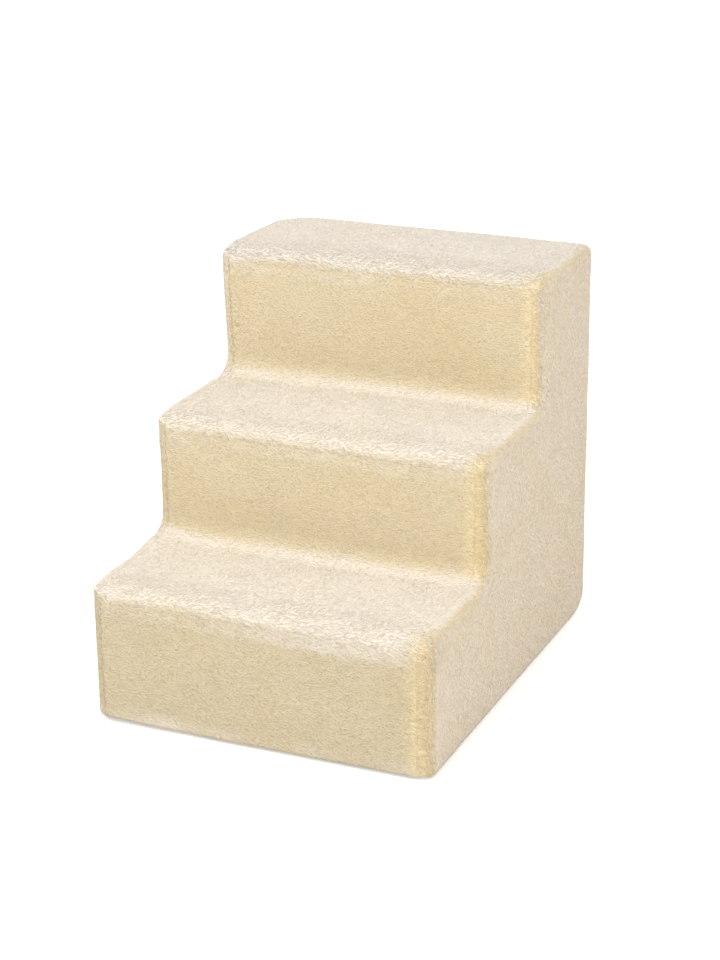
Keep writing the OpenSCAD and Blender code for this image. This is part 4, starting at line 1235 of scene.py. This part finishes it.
@dataclass
class PileMaker:
    """Grows locks of pile on the panels with one Geometry Nodes tree.

    Attributes:
        material: Material of the pile.
        lock_width: Width of a lock as a share of its length.
        skin_share: How far the locks' shading turns towards the skin.
        floor_gap: Lowest height of the pile over the floor.
        seed: First seed.
        usual: Values of the tree's inputs where a stretch has no others, in metres and radians.
        riser: Values for the brushed pile of the risers.
        smooth: Values for the smooth pile of the sides and back.
        clumped: Values for the clumped pile beside the corner seams.
    """

    material: bpy.types.Material
    lock_width: float = 0.25
    skin_share: float = 0.85
    floor_gap: float = 0.2 * MM
    seed: int = 11

    def __post_init__(self) -> None:
        """Builds the tree, the models of a full and of a plain lock, and the values of each stretch."""
        self.tree, self.names = self.build_tree()
        self.full, self.plain = self.lock(False), self.lock(True)
        self.usual = {"Finish": self.material, "Apart": 1.15 * MM, "Density": 900000.0, "Length": 3.8 * MM,
                      "Low lift": 0.02, "High lift": 0.18, "Yaw": 0.4}
        self.riser = {"Length": 3.4 * MM, "Low lift": 0.015, "Yaw": 0.28}
        self.smooth = {"Apart": 1.12 * MM, "Length": 3.4 * MM, "Low lift": 0.01, "High lift": 0.16, "Yaw": 0.25}
        self.clumped = {"Apart": 0.95 * MM, "High lift": 0.3, "Yaw": 0.5}

    def lock(self, plain: bool) -> bpy.types.Object:
        """Models one lock of unit length along X: a flat tapering wisp with a lifted tip.

        Args:
            plain: Whether the lock is a simple wedge, for the smooth sides.

        Returns:
            The lock, which isn't linked to the scene.
        """
        w = self.lock_width
        rows = [(0.0, w * 0.55, -0.06, 0.05), (0.5, w * 0.75, 0.01, 0.11)]
        if plain:
            rows = [(0.0, w * 0.75, -0.06, 0.09)]
        points = [p for x, width, low, high in rows
                  for p in ((x, -width / 2, low), (x, width / 2, low), (x, 0.0, high))]
        tip = len(points)
        last = tip - 3
        faces = [(last, last + 1, tip), (last + 1, last + 2, tip), (last + 2, last, tip), (2, 1, 0)]
        if not plain:
            faces += [(0, 1, 4, 3), (1, 2, 5, 4), (2, 0, 3, 5)]
        return bpy.data.objects.new("pile_lock", smooth_mesh("pile_lock", [*points, (1.0, 0.05, 0.07)], faces))

    def build_tree(self) -> tuple[bpy.types.NodeTree, dict[str, str]]:
        """Builds the tree that sets locks on a skin.

        Returns:
            The tree, and the identifier of each input by name.
        """
        t, given, out, names = new_group("grow_pile", "Geometry", {
            "Geometry": "Geometry", "Lock": "Object", "Finish": "Material", "Apart": "Float", "Density": "Float",
            "Length": "Float", "Low lift": "Float", "High lift": "Float", "Yaw": "Float", "Seed": "Int",
        }, {"Geometry": "Geometry"})
        scatter = t.add("GeometryNodeDistributePointsOnFaces", {
            "Mesh": given["Geometry"], "Distance Min": given["Apart"], "Density Max": given["Density"],
            "Seed": given["Seed"]}, distribute_method="POISSON")
        normal = scatter.outputs["Normal"]
        flow = t.add("GeometryNodeInputNamedAttribute", {"Name": "pile_flow"}, data_type="FLOAT_VECTOR")
        stand = t.add("GeometryNodeInputNamedAttribute", {"Name": "pile_raise"}, data_type="FLOAT")
        upright = t.add("FunctionNodeAlignRotationToVector", {"Vector": normal}, axis="Z")
        ahead = t.add("FunctionNodeAlignRotationToVector", {"Rotation": upright, "Vector": flow}, axis="X",
                      pivot_axis="Z")
        span = t.math("SUBTRACT", given["High lift"], given["Low lift"])
        lift_by = t.math("ADD", given["Low lift"], t.math("MULTIPLY", stand, span))
        lift_by = t.math("MULTIPLY", lift_by, self.random(t, 0.4, 1.5, 1, given["Seed"]))
        yaw = t.math("MULTIPLY", self.random(t, -1.0, 1.0, 2, given["Seed"]), given["Yaw"])
        yaw = t.math("MULTIPLY", yaw, t.math("ADD", t.math("MULTIPLY", stand, 1.5), 0.35))
        turn = t.add("ShaderNodeCombineXYZ", {"Y": t.math("MULTIPLY", lift_by, -1.0), "Z": yaw})
        turned = t.add("FunctionNodeRotateRotation", {
            "Rotation": ahead, "Rotate By": t.add("FunctionNodeEulerToRotation", {0: turn})}, rotation_space="LOCAL")
        skin = t.add("GeometryNodeStoreNamedAttribute", {
            "Name": "skin_normal", "Geometry": scatter.outputs["Points"], "Value": normal},
            data_type="FLOAT_VECTOR", domain="POINT")
        tone = t.add("GeometryNodeStoreNamedAttribute", {
            "Name": "lock_tone", "Geometry": skin, "Value": self.random(t, -1.0, 1.0, 3, given["Seed"])},
            data_type="FLOAT", domain="POINT")
        size = t.math("MULTIPLY", given["Length"], self.random(t, 0.7, 1.25, 4, given["Seed"]))
        size = t.math("MULTIPLY", size, t.math("ADD", t.math("MULTIPLY", stand, 0.3), 0.9))
        model = t.add("GeometryNodeObjectInfo", {"Object": given["Lock"]}).outputs["Geometry"]
        placed = t.add("GeometryNodeInstanceOnPoints", {
            "Points": tone, "Instance": model, "Rotation": turned, "Scale": size})
        end_tree(t, out, placed, given["Finish"])
        return t.tree, names

    def random(self, t: Tree, low: float, high: float, number: int, seed: object) -> bpy.types.Node:
        """Adds a random number for each point.

        Args:
            t: Tree to add to.
            low: Lowest number.
            high: Highest number.
            number: Shift of the seed that sets this draw apart.
            seed: Socket with the seed.

        Returns:
            The node.
        """
        node = t.add("FunctionNodeRandomValue", data_type="FLOAT")
        used = [i for i, s in enumerate(node.inputs) if s.enabled]
        t.fill(node, {used[0]: low, used[1]: high, used[-1]: t.math("ADD", seed, float(number))})
        return node

    def grow(self, sheet: bpy.types.Object, name: str, keep: np.ndarray, lock: bpy.types.Object, seed: int,
             values: dict) -> bpy.types.Object:
        """Grows pile on chosen faces of a sheet.

        Args:
            sheet: Sheet that carries the pile.
            name: Name of the new piece.
            keep: Whether each face carries this pile.
            lock: Model of one lock.
            seed: How far this stretch's seed is past the first one.
            values: Values of the tree's inputs that differ from the usual ones.

        Returns:
            The pile as a plain mesh.
        """
        mesh = sheet.data.copy()
        work = bmesh.new()
        work.from_mesh(mesh)
        work.faces.ensure_lookup_table()
        bmesh.ops.delete(work, geom=[work.faces[int(i)] for i in np.flatnonzero(~keep)], context="FACES")
        work.to_mesh(mesh)
        work.free()
        given = {**self.usual, "Lock": lock, "Seed": self.seed + seed, **values}
        made = repeated(name, mesh, self.tree, {self.names[key]: value for key, value in given.items()})
        points = vectors(made.data.vertices, "co")
        points[:, 2] = np.maximum(points[:, 2], self.floor_gap)
        set_points(made, points)
        self.soften(made)
        return made

    def soften(self, made: bpy.types.Object) -> None:
        """Turns the locks' shading towards the skin, as loose fibres scatter light.

        Args:
            made: Pile with the skin's normal on each point.
        """
        stored = made.data.attributes["skin_normal"]
        own, skin = vectors(made.data.vertex_normals, "vector"), vectors(stored.data, "vector")
        share = self.skin_share * smoothstep(-0.1, 0.6, np.sum(own * skin, 1))[:, None]
        mixed = own * (1 - share) + skin * share
        mixed /= np.maximum(np.linalg.norm(mixed, axis=1), 1e-6)[:, None]
        made.data.normals_split_custom_set_from_vertices(mixed.tolist())
        made.data.attributes.remove(made.data.attributes["skin_normal"])

    def clear(self) -> None:
        """Removes the models of the locks."""
        bpy.data.objects.remove(self.full)
        bpy.data.objects.remove(self.plain)


@dataclass
class StitchMaker:
    """Sews rows of stitches along lines with one Geometry Nodes tree."""

    material: bpy.types.Material
    pitch: float = 3.4 * MM
    stitch_length: float = 2.7 * MM
    thread_r: float = 0.4 * MM
    sides: int = 6
    rings: int = 5

    def stitch(self) -> bpy.types.Object:
        """Models one stitch along Z, full in the middle and drawn in at both ends.

        Returns:
            The stitch, which isn't linked to the scene.
        """
        points, places = [], []
        for share in np.linspace(0.04, 0.96, self.rings):
            for angle in np.linspace(0, 2 * math.pi, self.sides, endpoint=False):
                r = self.thread_r * math.sin(math.pi * share) ** 0.5
                z = (share - 0.5) * self.stitch_length
                points.append((r * math.cos(angle), r * math.sin(angle), z))
                places.append((angle * self.thread_r, z))
        ends = [tuple(reversed(range(self.sides))), tuple(range(len(points) - self.sides, len(points)))]
        faces = grid_faces(self.rings, self.sides, closed=True) + ends
        made = bpy.data.objects.new("stitch", smooth_mesh("stitch", points, faces))
        set_uv(made, np.array(places))
        return made

    def sew(self, name: str, lines: list[np.ndarray]) -> bpy.types.Object:
        """Sews stitches along lines.

        Args:
            name: Name of the new piece.
            lines: Lines as rows of x, y and z.

        Returns:
            The row of stitches as a plain mesh.
        """
        t, given, out, names = new_group("sew_row", "Geometry", {
            "Geometry": "Geometry", "Stitch": "Object", "Finish": "Material", "Pitch": "Float",
        }, {"Geometry": "Geometry"})
        curve = t.add("GeometryNodeMeshToCurve", {"Mesh": given["Geometry"]})
        at = t.add("GeometryNodeCurveToPoints", {"Curve": curve, "Length": given["Pitch"]}, mode="LENGTH").outputs
        source = t.add("GeometryNodeObjectInfo", {"Object": given["Stitch"]}).outputs["Geometry"]
        placed = t.add("GeometryNodeInstanceOnPoints", {
            "Points": at["Points"], "Instance": source, "Rotation": at["Rotation"]})
        end_tree(t, out, placed, given["Finish"])
        model = self.stitch()
        mesh = bpy.data.meshes.new(name)
        starts = np.cumsum([0] + [len(line) for line in lines])
        edges = [(int(a) + i, int(a) + i + 1) for a, line in zip(starts, lines) for i in range(len(line) - 1)]
        mesh.from_pydata([tuple(p) for line in lines for p in line], edges, [])
        made = repeated(name, mesh, t.tree, {
            names["Stitch"]: model, names["Finish"]: self.material, names["Pitch"]: self.pitch})
        bpy.data.objects.remove(model)
        return made


# Sub-assemblies


@dataclass
class PlushCover:
    """The five panels of the cover and their pile.

    Attributes:
        form: Shape of the stairs.
        rests: Nodes that the cover lies on; not used.
        middle_share: Where the sides' pile is parted into two stretches, as a share of the height.
        front_facing: How far a face looks to the back where the front stretch ends.
        hem_clear: Height over the hem under which no pile grows.
        panel_seed: Shift of the seeds of the side and back panels.
        seed_step: Shift of the seeds from one panel or step to the next.
    """

    form: StairForm
    rests: tuple = ("tread_board_lower", "tread_board_middle", "tread_board_upper", "side_frame_left",
                    "side_frame_right", "rear_board")
    middle_share: float = 0.42
    front_facing: float = -0.25
    hem_clear: float = 2 * MM
    panel_seed: int = 40
    seed_step: int = 7

    def build(self) -> list[bpy.types.Object]:
        """Makes the panels and grows their pile.

        Returns:
            Every piece.
        """
        plush, backing = plush_material(PLUSH), cloth_material(BACKING)
        builder = CoverBuilder(self.form)
        maker = PileMaker(plush)
        pieces = []
        panels = [builder.strip(), *map(builder.side, Side), *map(builder.back, Side)]
        for number, panel in enumerate(panels):
            sheet = panel.build(plush, backing)
            piles = self.piles(maker, sheet, panel, number)
            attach(sheet, "root")
            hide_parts(panel.node)
            for pile in piles:
                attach(pile, "root")
            pieces += [sheet, *piles]
        maker.clear()
        return pieces

    def piles(self, maker: PileMaker, sheet: bpy.types.Object, panel: CoverPanel,
              number: int) -> list[bpy.types.Object]:
        """Grows the pile of one panel in stretches.

        Args:
            maker: Grower of the pile.
            sheet: Sheet that carries the pile.
            panel: Cut of the sheet.
            number: Number of the panel, for its seed.

        Returns:
            The stretches of pile.
        """
        form = self.form
        centres = vectors(sheet.data.polygons, "center")
        above = centres[:, 2] > form.hem_z + self.hem_clear
        made = []
        if panel.lay is Lay.TREAD:
            step = np.digitize(centres[:, 1], [y - form.crease_r / 2 for y in form.riser_y[1:]])
            for k, word in enumerate(LEVELS):
                tread = centres[:, 2] > form.tread_z[k] - form.nose_r
                for part, keep, shift, values in (("tread", tread, 1, {}), ("riser", ~tread, 0, maker.riser)):
                    made.append(maker.grow(sheet, f"pile_{word}_{part}", (step == k) & keep & above, maker.full,
                                           self.seed_step * k + shift, values))
            return made
        stretch = np.digitize(centres[:, 2], [form.tread_z[2] * self.middle_share])
        stretch[vectors(sheet.data.polygons, "normal")[:, 1] < self.front_facing] = 2
        for k, (word, lock, values) in enumerate((
                ("low", maker.plain, maker.smooth), ("high", maker.plain, maker.smooth),
                ("front", maker.full, maker.clumped))):
            keep = (stretch == k) & above
            if np.any(keep):
                seed = self.panel_seed + self.seed_step * number + k
                made.append(maker.grow(sheet, f"{panel.node}_pile_{word}", keep, lock, seed, values))
        return made


@dataclass
class HemBand:
    """Gathered tunnel along the hem with the flat elastic inside it.

    Attributes:
        tunnel_w: Width of the tunnel.
        elastic_w: Width of the elastic.
        gather_pitch: Length of one gather.
        gather: Height of the gathers.
        step: Distance from one section to the next.
        ring: Points in a section.
        tunnel_r: Radius of the tunnel's corners.
        gap_hw: Half the gap behind the zip.
        fullness: Length of the cloth by the length of the tunnel; not used.
        cloth: Thickness of the cloth.
        stitch_in: Distance of the stitches from the tunnel's outer edge.
        squareness: Power that makes the section flat, with round ends.
        corner_steps: Points along each of the tunnel's corners.
        drift: How far the gathers drift, in radians, and how often, in radians per metre.
    """

    tunnel_w: float = 11 * MM
    elastic_w: float = 7 * MM
    gather_pitch: float = 6.5 * MM
    gather: float = 0.35 * MM
    step: float = 1.6 * MM
    ring: int = 12
    tunnel_r: float = 24 * MM
    gap_hw: float = 9 * MM
    fullness: float = 1.1
    cloth: float = 0.35 * MM
    stitch_in: float = 1.3 * MM
    squareness: float = 0.6
    corner_steps: int = 13
    drift: tuple = (1.3, 90.0)

    def path(self, inset: float) -> np.ndarray:
        """Middle line of the band, open behind the zip.

        Args:
            inset: Distance of the line from the tunnel's outer edge.

        Returns:
            Rows of x and y.
        """
        low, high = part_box("hem_tunnel")
        r = self.tunnel_r - inset
        x, y0, y1 = high.x - inset, low.y + inset, high.y - inset
        corners = [((x - r, y1 - r), 90), ((x - r, y0 + r), 0), ((-x + r, y0 + r), -90), ((-x + r, y1 - r), -180)]
        line = [(self.gap_hw, y1)]
        for (cx, cy), start in corners:
            for a in np.radians(np.linspace(start, start - 90, self.corner_steps)):
                line.append((cx + r * math.cos(a), cy + r * math.sin(a)))
        line = np.array([*line, (-self.gap_hw, y1)])
        gone = np.concatenate([[0], np.cumsum(steps_along(line))])
        at = np.linspace(0, gone[-1], int(gone[-1] / self.step))
        return np.column_stack([np.interp(at, gone, line[:, 0]), np.interp(at, gone, line[:, 1])])

    def sweep(self, line: np.ndarray, width: float, thick: float, ripple: float) -> tuple[np.ndarray, list, np.ndarray]:
        """Sweeps a flat round-ended section along a line on the floor plan.

        Args:
            line: Rows of x and y.
            width: Width of the section.
            thick: Thickness of the section.
            ripple: Height of the gathers.

        Returns:
            Points, faces and UV places.
        """
        low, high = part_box("hem_tunnel")
        middle = (low.z + high.z) / 2
        along = np.gradient(line, axis=0)
        along /= np.linalg.norm(along, axis=1)[:, None]
        across = np.column_stack([-along[:, 1], along[:, 0]])
        angles = np.linspace(0, 2 * math.pi, self.ring, endpoint=False)
        flat_x, flat_z = (np.sign(wave) * np.abs(wave) ** self.squareness * size / 2
                          for wave, size in ((np.cos(angles), width), (np.sin(angles), thick)))
        points, places = [], []
        (far, often), gone = self.drift, 0.0
        for i, (p, side) in enumerate(zip(line, across)):
            gone += float(np.linalg.norm(line[i] - line[i - 1])) if i else 0.0
            wave = math.sin(2 * math.pi * gone / self.gather_pitch + far * math.sin(gone * often))
            for fx, fz in zip(flat_x, flat_z):
                z = middle + fz * (1 - ripple * (0.5 + 0.5 * wave) / (thick / 2))
                points.append((p[0] + side[0] * fx, p[1] + side[1] * fx, z))
                places.append((gone, fx + fz))
        faces = turned_round(grid_faces(len(line), self.ring, closed=True))
        if not ripple:
            faces.append(tuple(range(self.ring)))
            faces.append(tuple(reversed(range(len(points) - self.ring, len(points)))))
        return np.array(points), faces, np.array(places)

    def build(self) -> list[bpy.types.Object]:
        """Makes the tunnel, its stitches and the elastic.

        Returns:
            The pieces.
        """
        made = []
        for name, node, finish, slot, width, ripple in (
                ("hem_tunnel_cloth", "hem_tunnel", HEM_CLOTH, "hem_fabric", self.tunnel_w, self.gather),
                ("hem_elastic_band", "hem_elastic", ELASTIC_CLOTH, "elastic", self.elastic_w, 0.0)):
            low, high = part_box(node)
            thick = high.z - low.z
            line = self.path(self.tunnel_w / 2)
            points, faces, places = self.sweep(line, width, thick, ripple)
            piece = new_piece(name, points, faces, cloth_material(finish))
            set_uv(piece, places)
            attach(piece, "root")
            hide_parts(node)
            if ripple:
                wall = piece.modifiers.new("cloth", "SOLIDIFY")
                wall.thickness = self.cloth
                wall.offset = -1
                row = self.stitches()
                made.append(row)
            made.append(piece)
        return made

    def stitches(self) -> bpy.types.Object:
        """Sews the row that joins the tunnel to the turned hem.

        Returns:
            The row of stitches.
        """
        line = self.path(self.stitch_in)
        height = np.full(len(line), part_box("hem_tunnel")[0].z)
        row = StitchMaker(cloth_material(THREAD)).sew("hem_stitches", [np.column_stack([line, height])])
        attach(row, "root")
        return row


def dressed(names: tuple[str, ...], material: bpy.types.Material) -> list[bpy.types.Object]:
    """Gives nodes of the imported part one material.

    Args:
        names: Names of the nodes.
        material: Material to give them.

    Returns:
        The nodes.
    """
    nodes = [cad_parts[name] for name in names]
    for node in nodes:
        for slot in node.material_slots:
            slot.material = material
    return nodes


@dataclass
class MouldedFrame:
    """The moulded boards and side frames, the rail and the feet, as the part has them."""

    plastic: tuple = ("side_frame_left", "side_frame_right", "tread_board_lower", "tread_board_middle",
                      "tread_board_upper", "riser_board_lower", "riser_board_middle", "riser_board_upper",
                      "rear_board", "floor_rail")
    rubber: tuple = ("rubber_feet",)

    def build(self) -> list[bpy.types.Object]:
        """Gives the frame's nodes their finish and returns them."""
        return dressed(self.plastic, plastic_material(FRAME_PLASTIC)) + dressed(self.rubber, plastic_material(RUBBER))


@dataclass
class RearZip:
    """Zip down the back: woven tapes, moulded teeth and stops, slider and pull.

    Attributes:
        tape_pitch: Distance from one row of a tape to the next.
        columns: Faces across a tape.
        cord: Half thickness of a tape and of its inner edge, as shares of the node's.
        ripple: Height of the tapes' ripple.
        ripple_pitch: Length in which the ripple turns by one radian.
        stitch_x: Place of the stitches across.
        stitch_end: Distance of the stitches from the ends of the opening.
        stitch_proud: How far the stitches' middle stands over the tape.
        moulded: Nodes of plastic.
        plated: Nodes of metal.
    """

    tape_pitch: float = 2.0 * MM
    columns: int = 9
    cord: tuple = (0.5, 0.42)
    ripple: float = 0.12 * MM
    ripple_pitch: float = 7 * MM
    stitch_x: float = 7.3 * MM
    stitch_end: float = 4.0 * MM
    stitch_proud: float = 0.12 * MM
    moulded: tuple = ("zip_teeth_left", "zip_teeth_right", "zip_top_stops", "zip_end_stop")
    plated: tuple = ("zip_slider", "zip_pull")

    def tape(self, side: Side, material: bpy.types.Material) -> bpy.types.Object:
        """Models one tape as a thin woven strip.

        Args:
            side: Which side.
            material: Material of the weave.

        Returns:
            The tape.
        """
        node = f"zip_tape_{side.name.lower()}"
        low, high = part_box(node)
        width, thick, length = high.x - low.x, high.y - low.y, high.z - low.z
        middle = (low.y + high.y) / 2
        rows = int(length / self.tape_pitch)
        inner = min(abs(low.x), abs(high.x))
        points, places = [], []
        for face in (1, -1):
            for i in range(rows + 1):
                z = low.z + length * i / rows
                for j in range(self.columns + 1):
                    across = j / self.columns
                    cord = self.cord[0] if j else self.cord[1]
                    wave = self.ripple * math.sin(z / self.ripple_pitch) * across * (0 if i in (0, rows) else 1)
                    y = middle + face * thick * cord * 0.9 + wave * 0.5
                    points.append((side.value * (inner + width * across), y, z))
                    places.append((width * across, z - low.z))
        n = self.columns + 1
        m = (rows + 1) * n
        faces = grid_faces(rows + 1, n) + turned_round(grid_faces(rows + 1, n, m))
        border = [j for j in range(n)] + [i * n + n - 1 for i in range(1, rows + 1)]
        border += [rows * n + j for j in range(n - 2, -1, -1)] + [i * n for i in range(rows - 1, 0, -1)]
        faces += [(b, a, a + m, b + m) for a, b in zip(border, [*border[1:], border[0]])]
        if side is Side.RIGHT:
            faces = turned_round(faces)
        piece = new_piece(f"{node}_weave", np.array(points), faces, material)
        set_uv(piece, np.array(places))
        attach(piece, "root")
        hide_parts(node)
        return piece

    def stitches(self) -> bpy.types.Object:
        """Sews the two rows that hold the tapes to the cover.

        Returns:
            The rows of stitches.
        """
        low, high = CoverBuilder(StairForm()).zip_span()
        levels = spaced(low + self.stitch_end, high - self.stitch_end, self.tape_pitch)
        surface = np.full(len(levels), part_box("zip_tape_right")[1].y + self.stitch_proud)
        lines = [lift(np.column_stack([surface, levels]), side.value * self.stitch_x) for side in Side]
        rows = StitchMaker(cloth_material(THREAD)).sew("zip_stitches", lines)
        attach(rows, "root")
        return rows

    def build(self) -> list[bpy.types.Object]:
        """Makes the tapes and dresses the teeth, stops, slider and pull.

        Returns:
            Every piece.
        """
        weave = cloth_material(ZIP_CLOTH)
        made = [self.tape(Side.LEFT, weave), self.tape(Side.RIGHT, weave), self.stitches()]
        made += dressed(self.moulded, plastic_material(ZIP_PLASTIC))
        return made + dressed(self.plated, metal_material(ZIP_METAL))


# Studio


@dataclass
class Studio:
    """Camera at the photograph's place, soft lamps, a pale floor and a white surround.

    Attributes:
        focal_px: Focal length in pixels of the photograph.
        azimuth: Turn of the camera about Z, in degrees.
        elevation: Tilt of the camera, in degrees.
        roll: Roll of the camera, in degrees.
        stand: Place of the camera.
        centre_px: Centre of projection in the photograph.
        frame_px: Size of the photograph.
        sensor: Width of the sensor, in millimetres.
        aim: Point that the lamps face.
        lamps: Name, place, edge length, power and colour of each lamp.
        floor_r: Radius of the floor.
        floor_sides: Corners of the floor's outline.
        floor_colour: Colour of the floor.
        glow: Light that the floor shows to the camera over what falls on it.
        daylight: Colour of the light from all round.
        daylight_power: Strength of that light.
    """

    focal_px: float = 2319.0
    azimuth: float = 23.656
    elevation: float = 20.463
    roll: float = -0.556
    stand: tuple = (0.8712, -1.9470, 0.9855)
    centre_px: tuple = (365.9, 483.65)
    frame_px: tuple = (720, 960)
    sensor: float = 36.0
    aim: tuple = (0.0, 0.0, 0.2)
    lamps: tuple = (("key", (-0.9, -1.5, 2.3), 1.6, 34.0, (1.0, 0.985, 0.95)),
                    ("fill", (2.2, -0.9, 1.1), 1.8, 14.0, (1.0, 0.97, 0.93)),
                    ("back", (0.3, 2.2, 1.7), 1.6, 12.0, (1.0, 0.98, 0.96)))
    floor_r: float = 6.0
    floor_sides: int = 64
    floor_colour: tuple = (0.82, 0.82, 0.81, 1.0)
    glow: float = 0.42
    daylight: tuple = (1.0, 0.985, 0.96, 1.0)
    daylight_power: float = 0.74

    def camera(self) -> None:
        """Makes the camera."""
        data = bpy.data.cameras.new("camera")
        made = linked("camera", data)
        wide, high = self.frame_px
        data.sensor_width = self.sensor
        data.sensor_fit = "AUTO"
        data.lens = self.focal_px * self.sensor / high
        data.shift_x = (wide / 2 - self.centre_px[0]) / high
        data.shift_y = (self.centre_px[1] - high / 2) / high
        data.clip_start, data.clip_end = 0.05, 60
        az, el, roll = (math.radians(a) for a in (self.azimuth, self.elevation, self.roll))
        back = Vector((math.sin(az) * math.cos(el), -math.cos(az) * math.cos(el), math.sin(el)))
        right = (-back).cross(Vector((0, 0, 1))).normalized()
        up = back.cross(right)
        turned_right = math.cos(roll) * right + math.sin(roll) * up
        turned_up = -math.sin(roll) * right + math.cos(roll) * up
        axes = Matrix((turned_right, turned_up, back)).transposed()
        made.matrix_world = Matrix.Translation(self.stand) @ axes.to_4x4()
        bpy.context.scene.camera = made

    def lamp(self, name: str, at: tuple, size: float, power: float, tint_colour: tuple) -> None:
        """Makes one square soft lamp.

        Args:
            name: Name of the lamp.
            at: Place of the lamp.
            size: Edge length.
            power: Power, in watts.
            tint_colour: Colour of the light.
        """
        data = bpy.data.lights.new(name, "AREA")
        data.size, data.energy, data.color = size, power, tint_colour
        made = linked(name, data)
        made.location = at
        made.rotation_euler = (Vector(self.aim) - Vector(at)).to_track_quat("-Z", "Y").to_euler()

    def seen(self, t: Tree) -> bpy.types.Node:
        """Adds the mask of rays from the camera, by way of gloss and through glass too.

        Args:
            t: Tree to add to.

        Returns:
            The node with the mask.
        """
        path = t.add("ShaderNodeLightPath").outputs
        direct = t.math("MAXIMUM", path["Is Camera Ray"], path["Is Glossy Ray"])
        return t.math("MAXIMUM", direct, path["Is Transmission Ray"])

    def surround(self) -> None:
        """Makes the world: even pale light, and plain white to the camera and in gloss."""
        world = bpy.data.worlds.new("surround")
        world.use_nodes = True
        bpy.context.scene.world = world
        t = Tree(world.node_tree)
        light = t.add("ShaderNodeBackground", {"Color": self.daylight, "Strength": self.daylight_power})
        shown = t.add("ShaderNodeBackground", {"Color": WHITE})
        mixed = t.add("ShaderNodeMixShader", {0: self.seen(t), 1: light, 2: shown})
        t.add("ShaderNodeOutputWorld", {"Surface": mixed})

    def floor(self) -> None:
        """Makes a pale round floor that keeps the object's shadow."""
        material, t, shader = new_material("studio_floor")
        t.fill(shader, {"Base Color": self.floor_colour, "Roughness": 0.95, "Specular IOR Level": 0.0})
        glow = t.add("ShaderNodeEmission", {"Color": WHITE, "Strength": t.math("MULTIPLY", self.seen(t), self.glow)})
        out = next(n for n in t.tree.nodes if n.type == "OUTPUT_MATERIAL")
        t.fill(out, {"Surface": t.add("ShaderNodeAddShader", {0: shader, 1: glow})})
        angles = np.linspace(0, 2 * math.pi, self.floor_sides, endpoint=False)
        ring = np.array([(self.floor_r * math.cos(a), self.floor_r * math.sin(a), 0.0) for a in angles])
        new_piece("studio_floor", ring, [tuple(range(self.floor_sides))], material)

    def build(self) -> None:
        """Sets up the camera, the lamps, the surround and the floor."""
        bpy.context.scene.view_settings.view_transform = "Standard"
        self.camera()
        self.surround()
        self.floor()
        for lamp in self.lamps:
            self.lamp(*lamp)


def report(title: str, pieces: list[bpy.types.Object]) -> None:
    """Logs the pieces of one sub-assembly."""
    for piece in pieces:
        LOG.info("%s: %s, %d faces", title, piece.name, len(piece.data.polygons))


def main() -> None:
    logging.basicConfig(level=logging.INFO, format="%(name)s %(message)s")
    Studio().build()
    report("cover", PlushCover(StairForm()).build())
    report("hem", HemBand().build())
    report("frame", MouldedFrame().build())
    report("zip", RearZip().build())


if __name__ == "__main__":
    main()
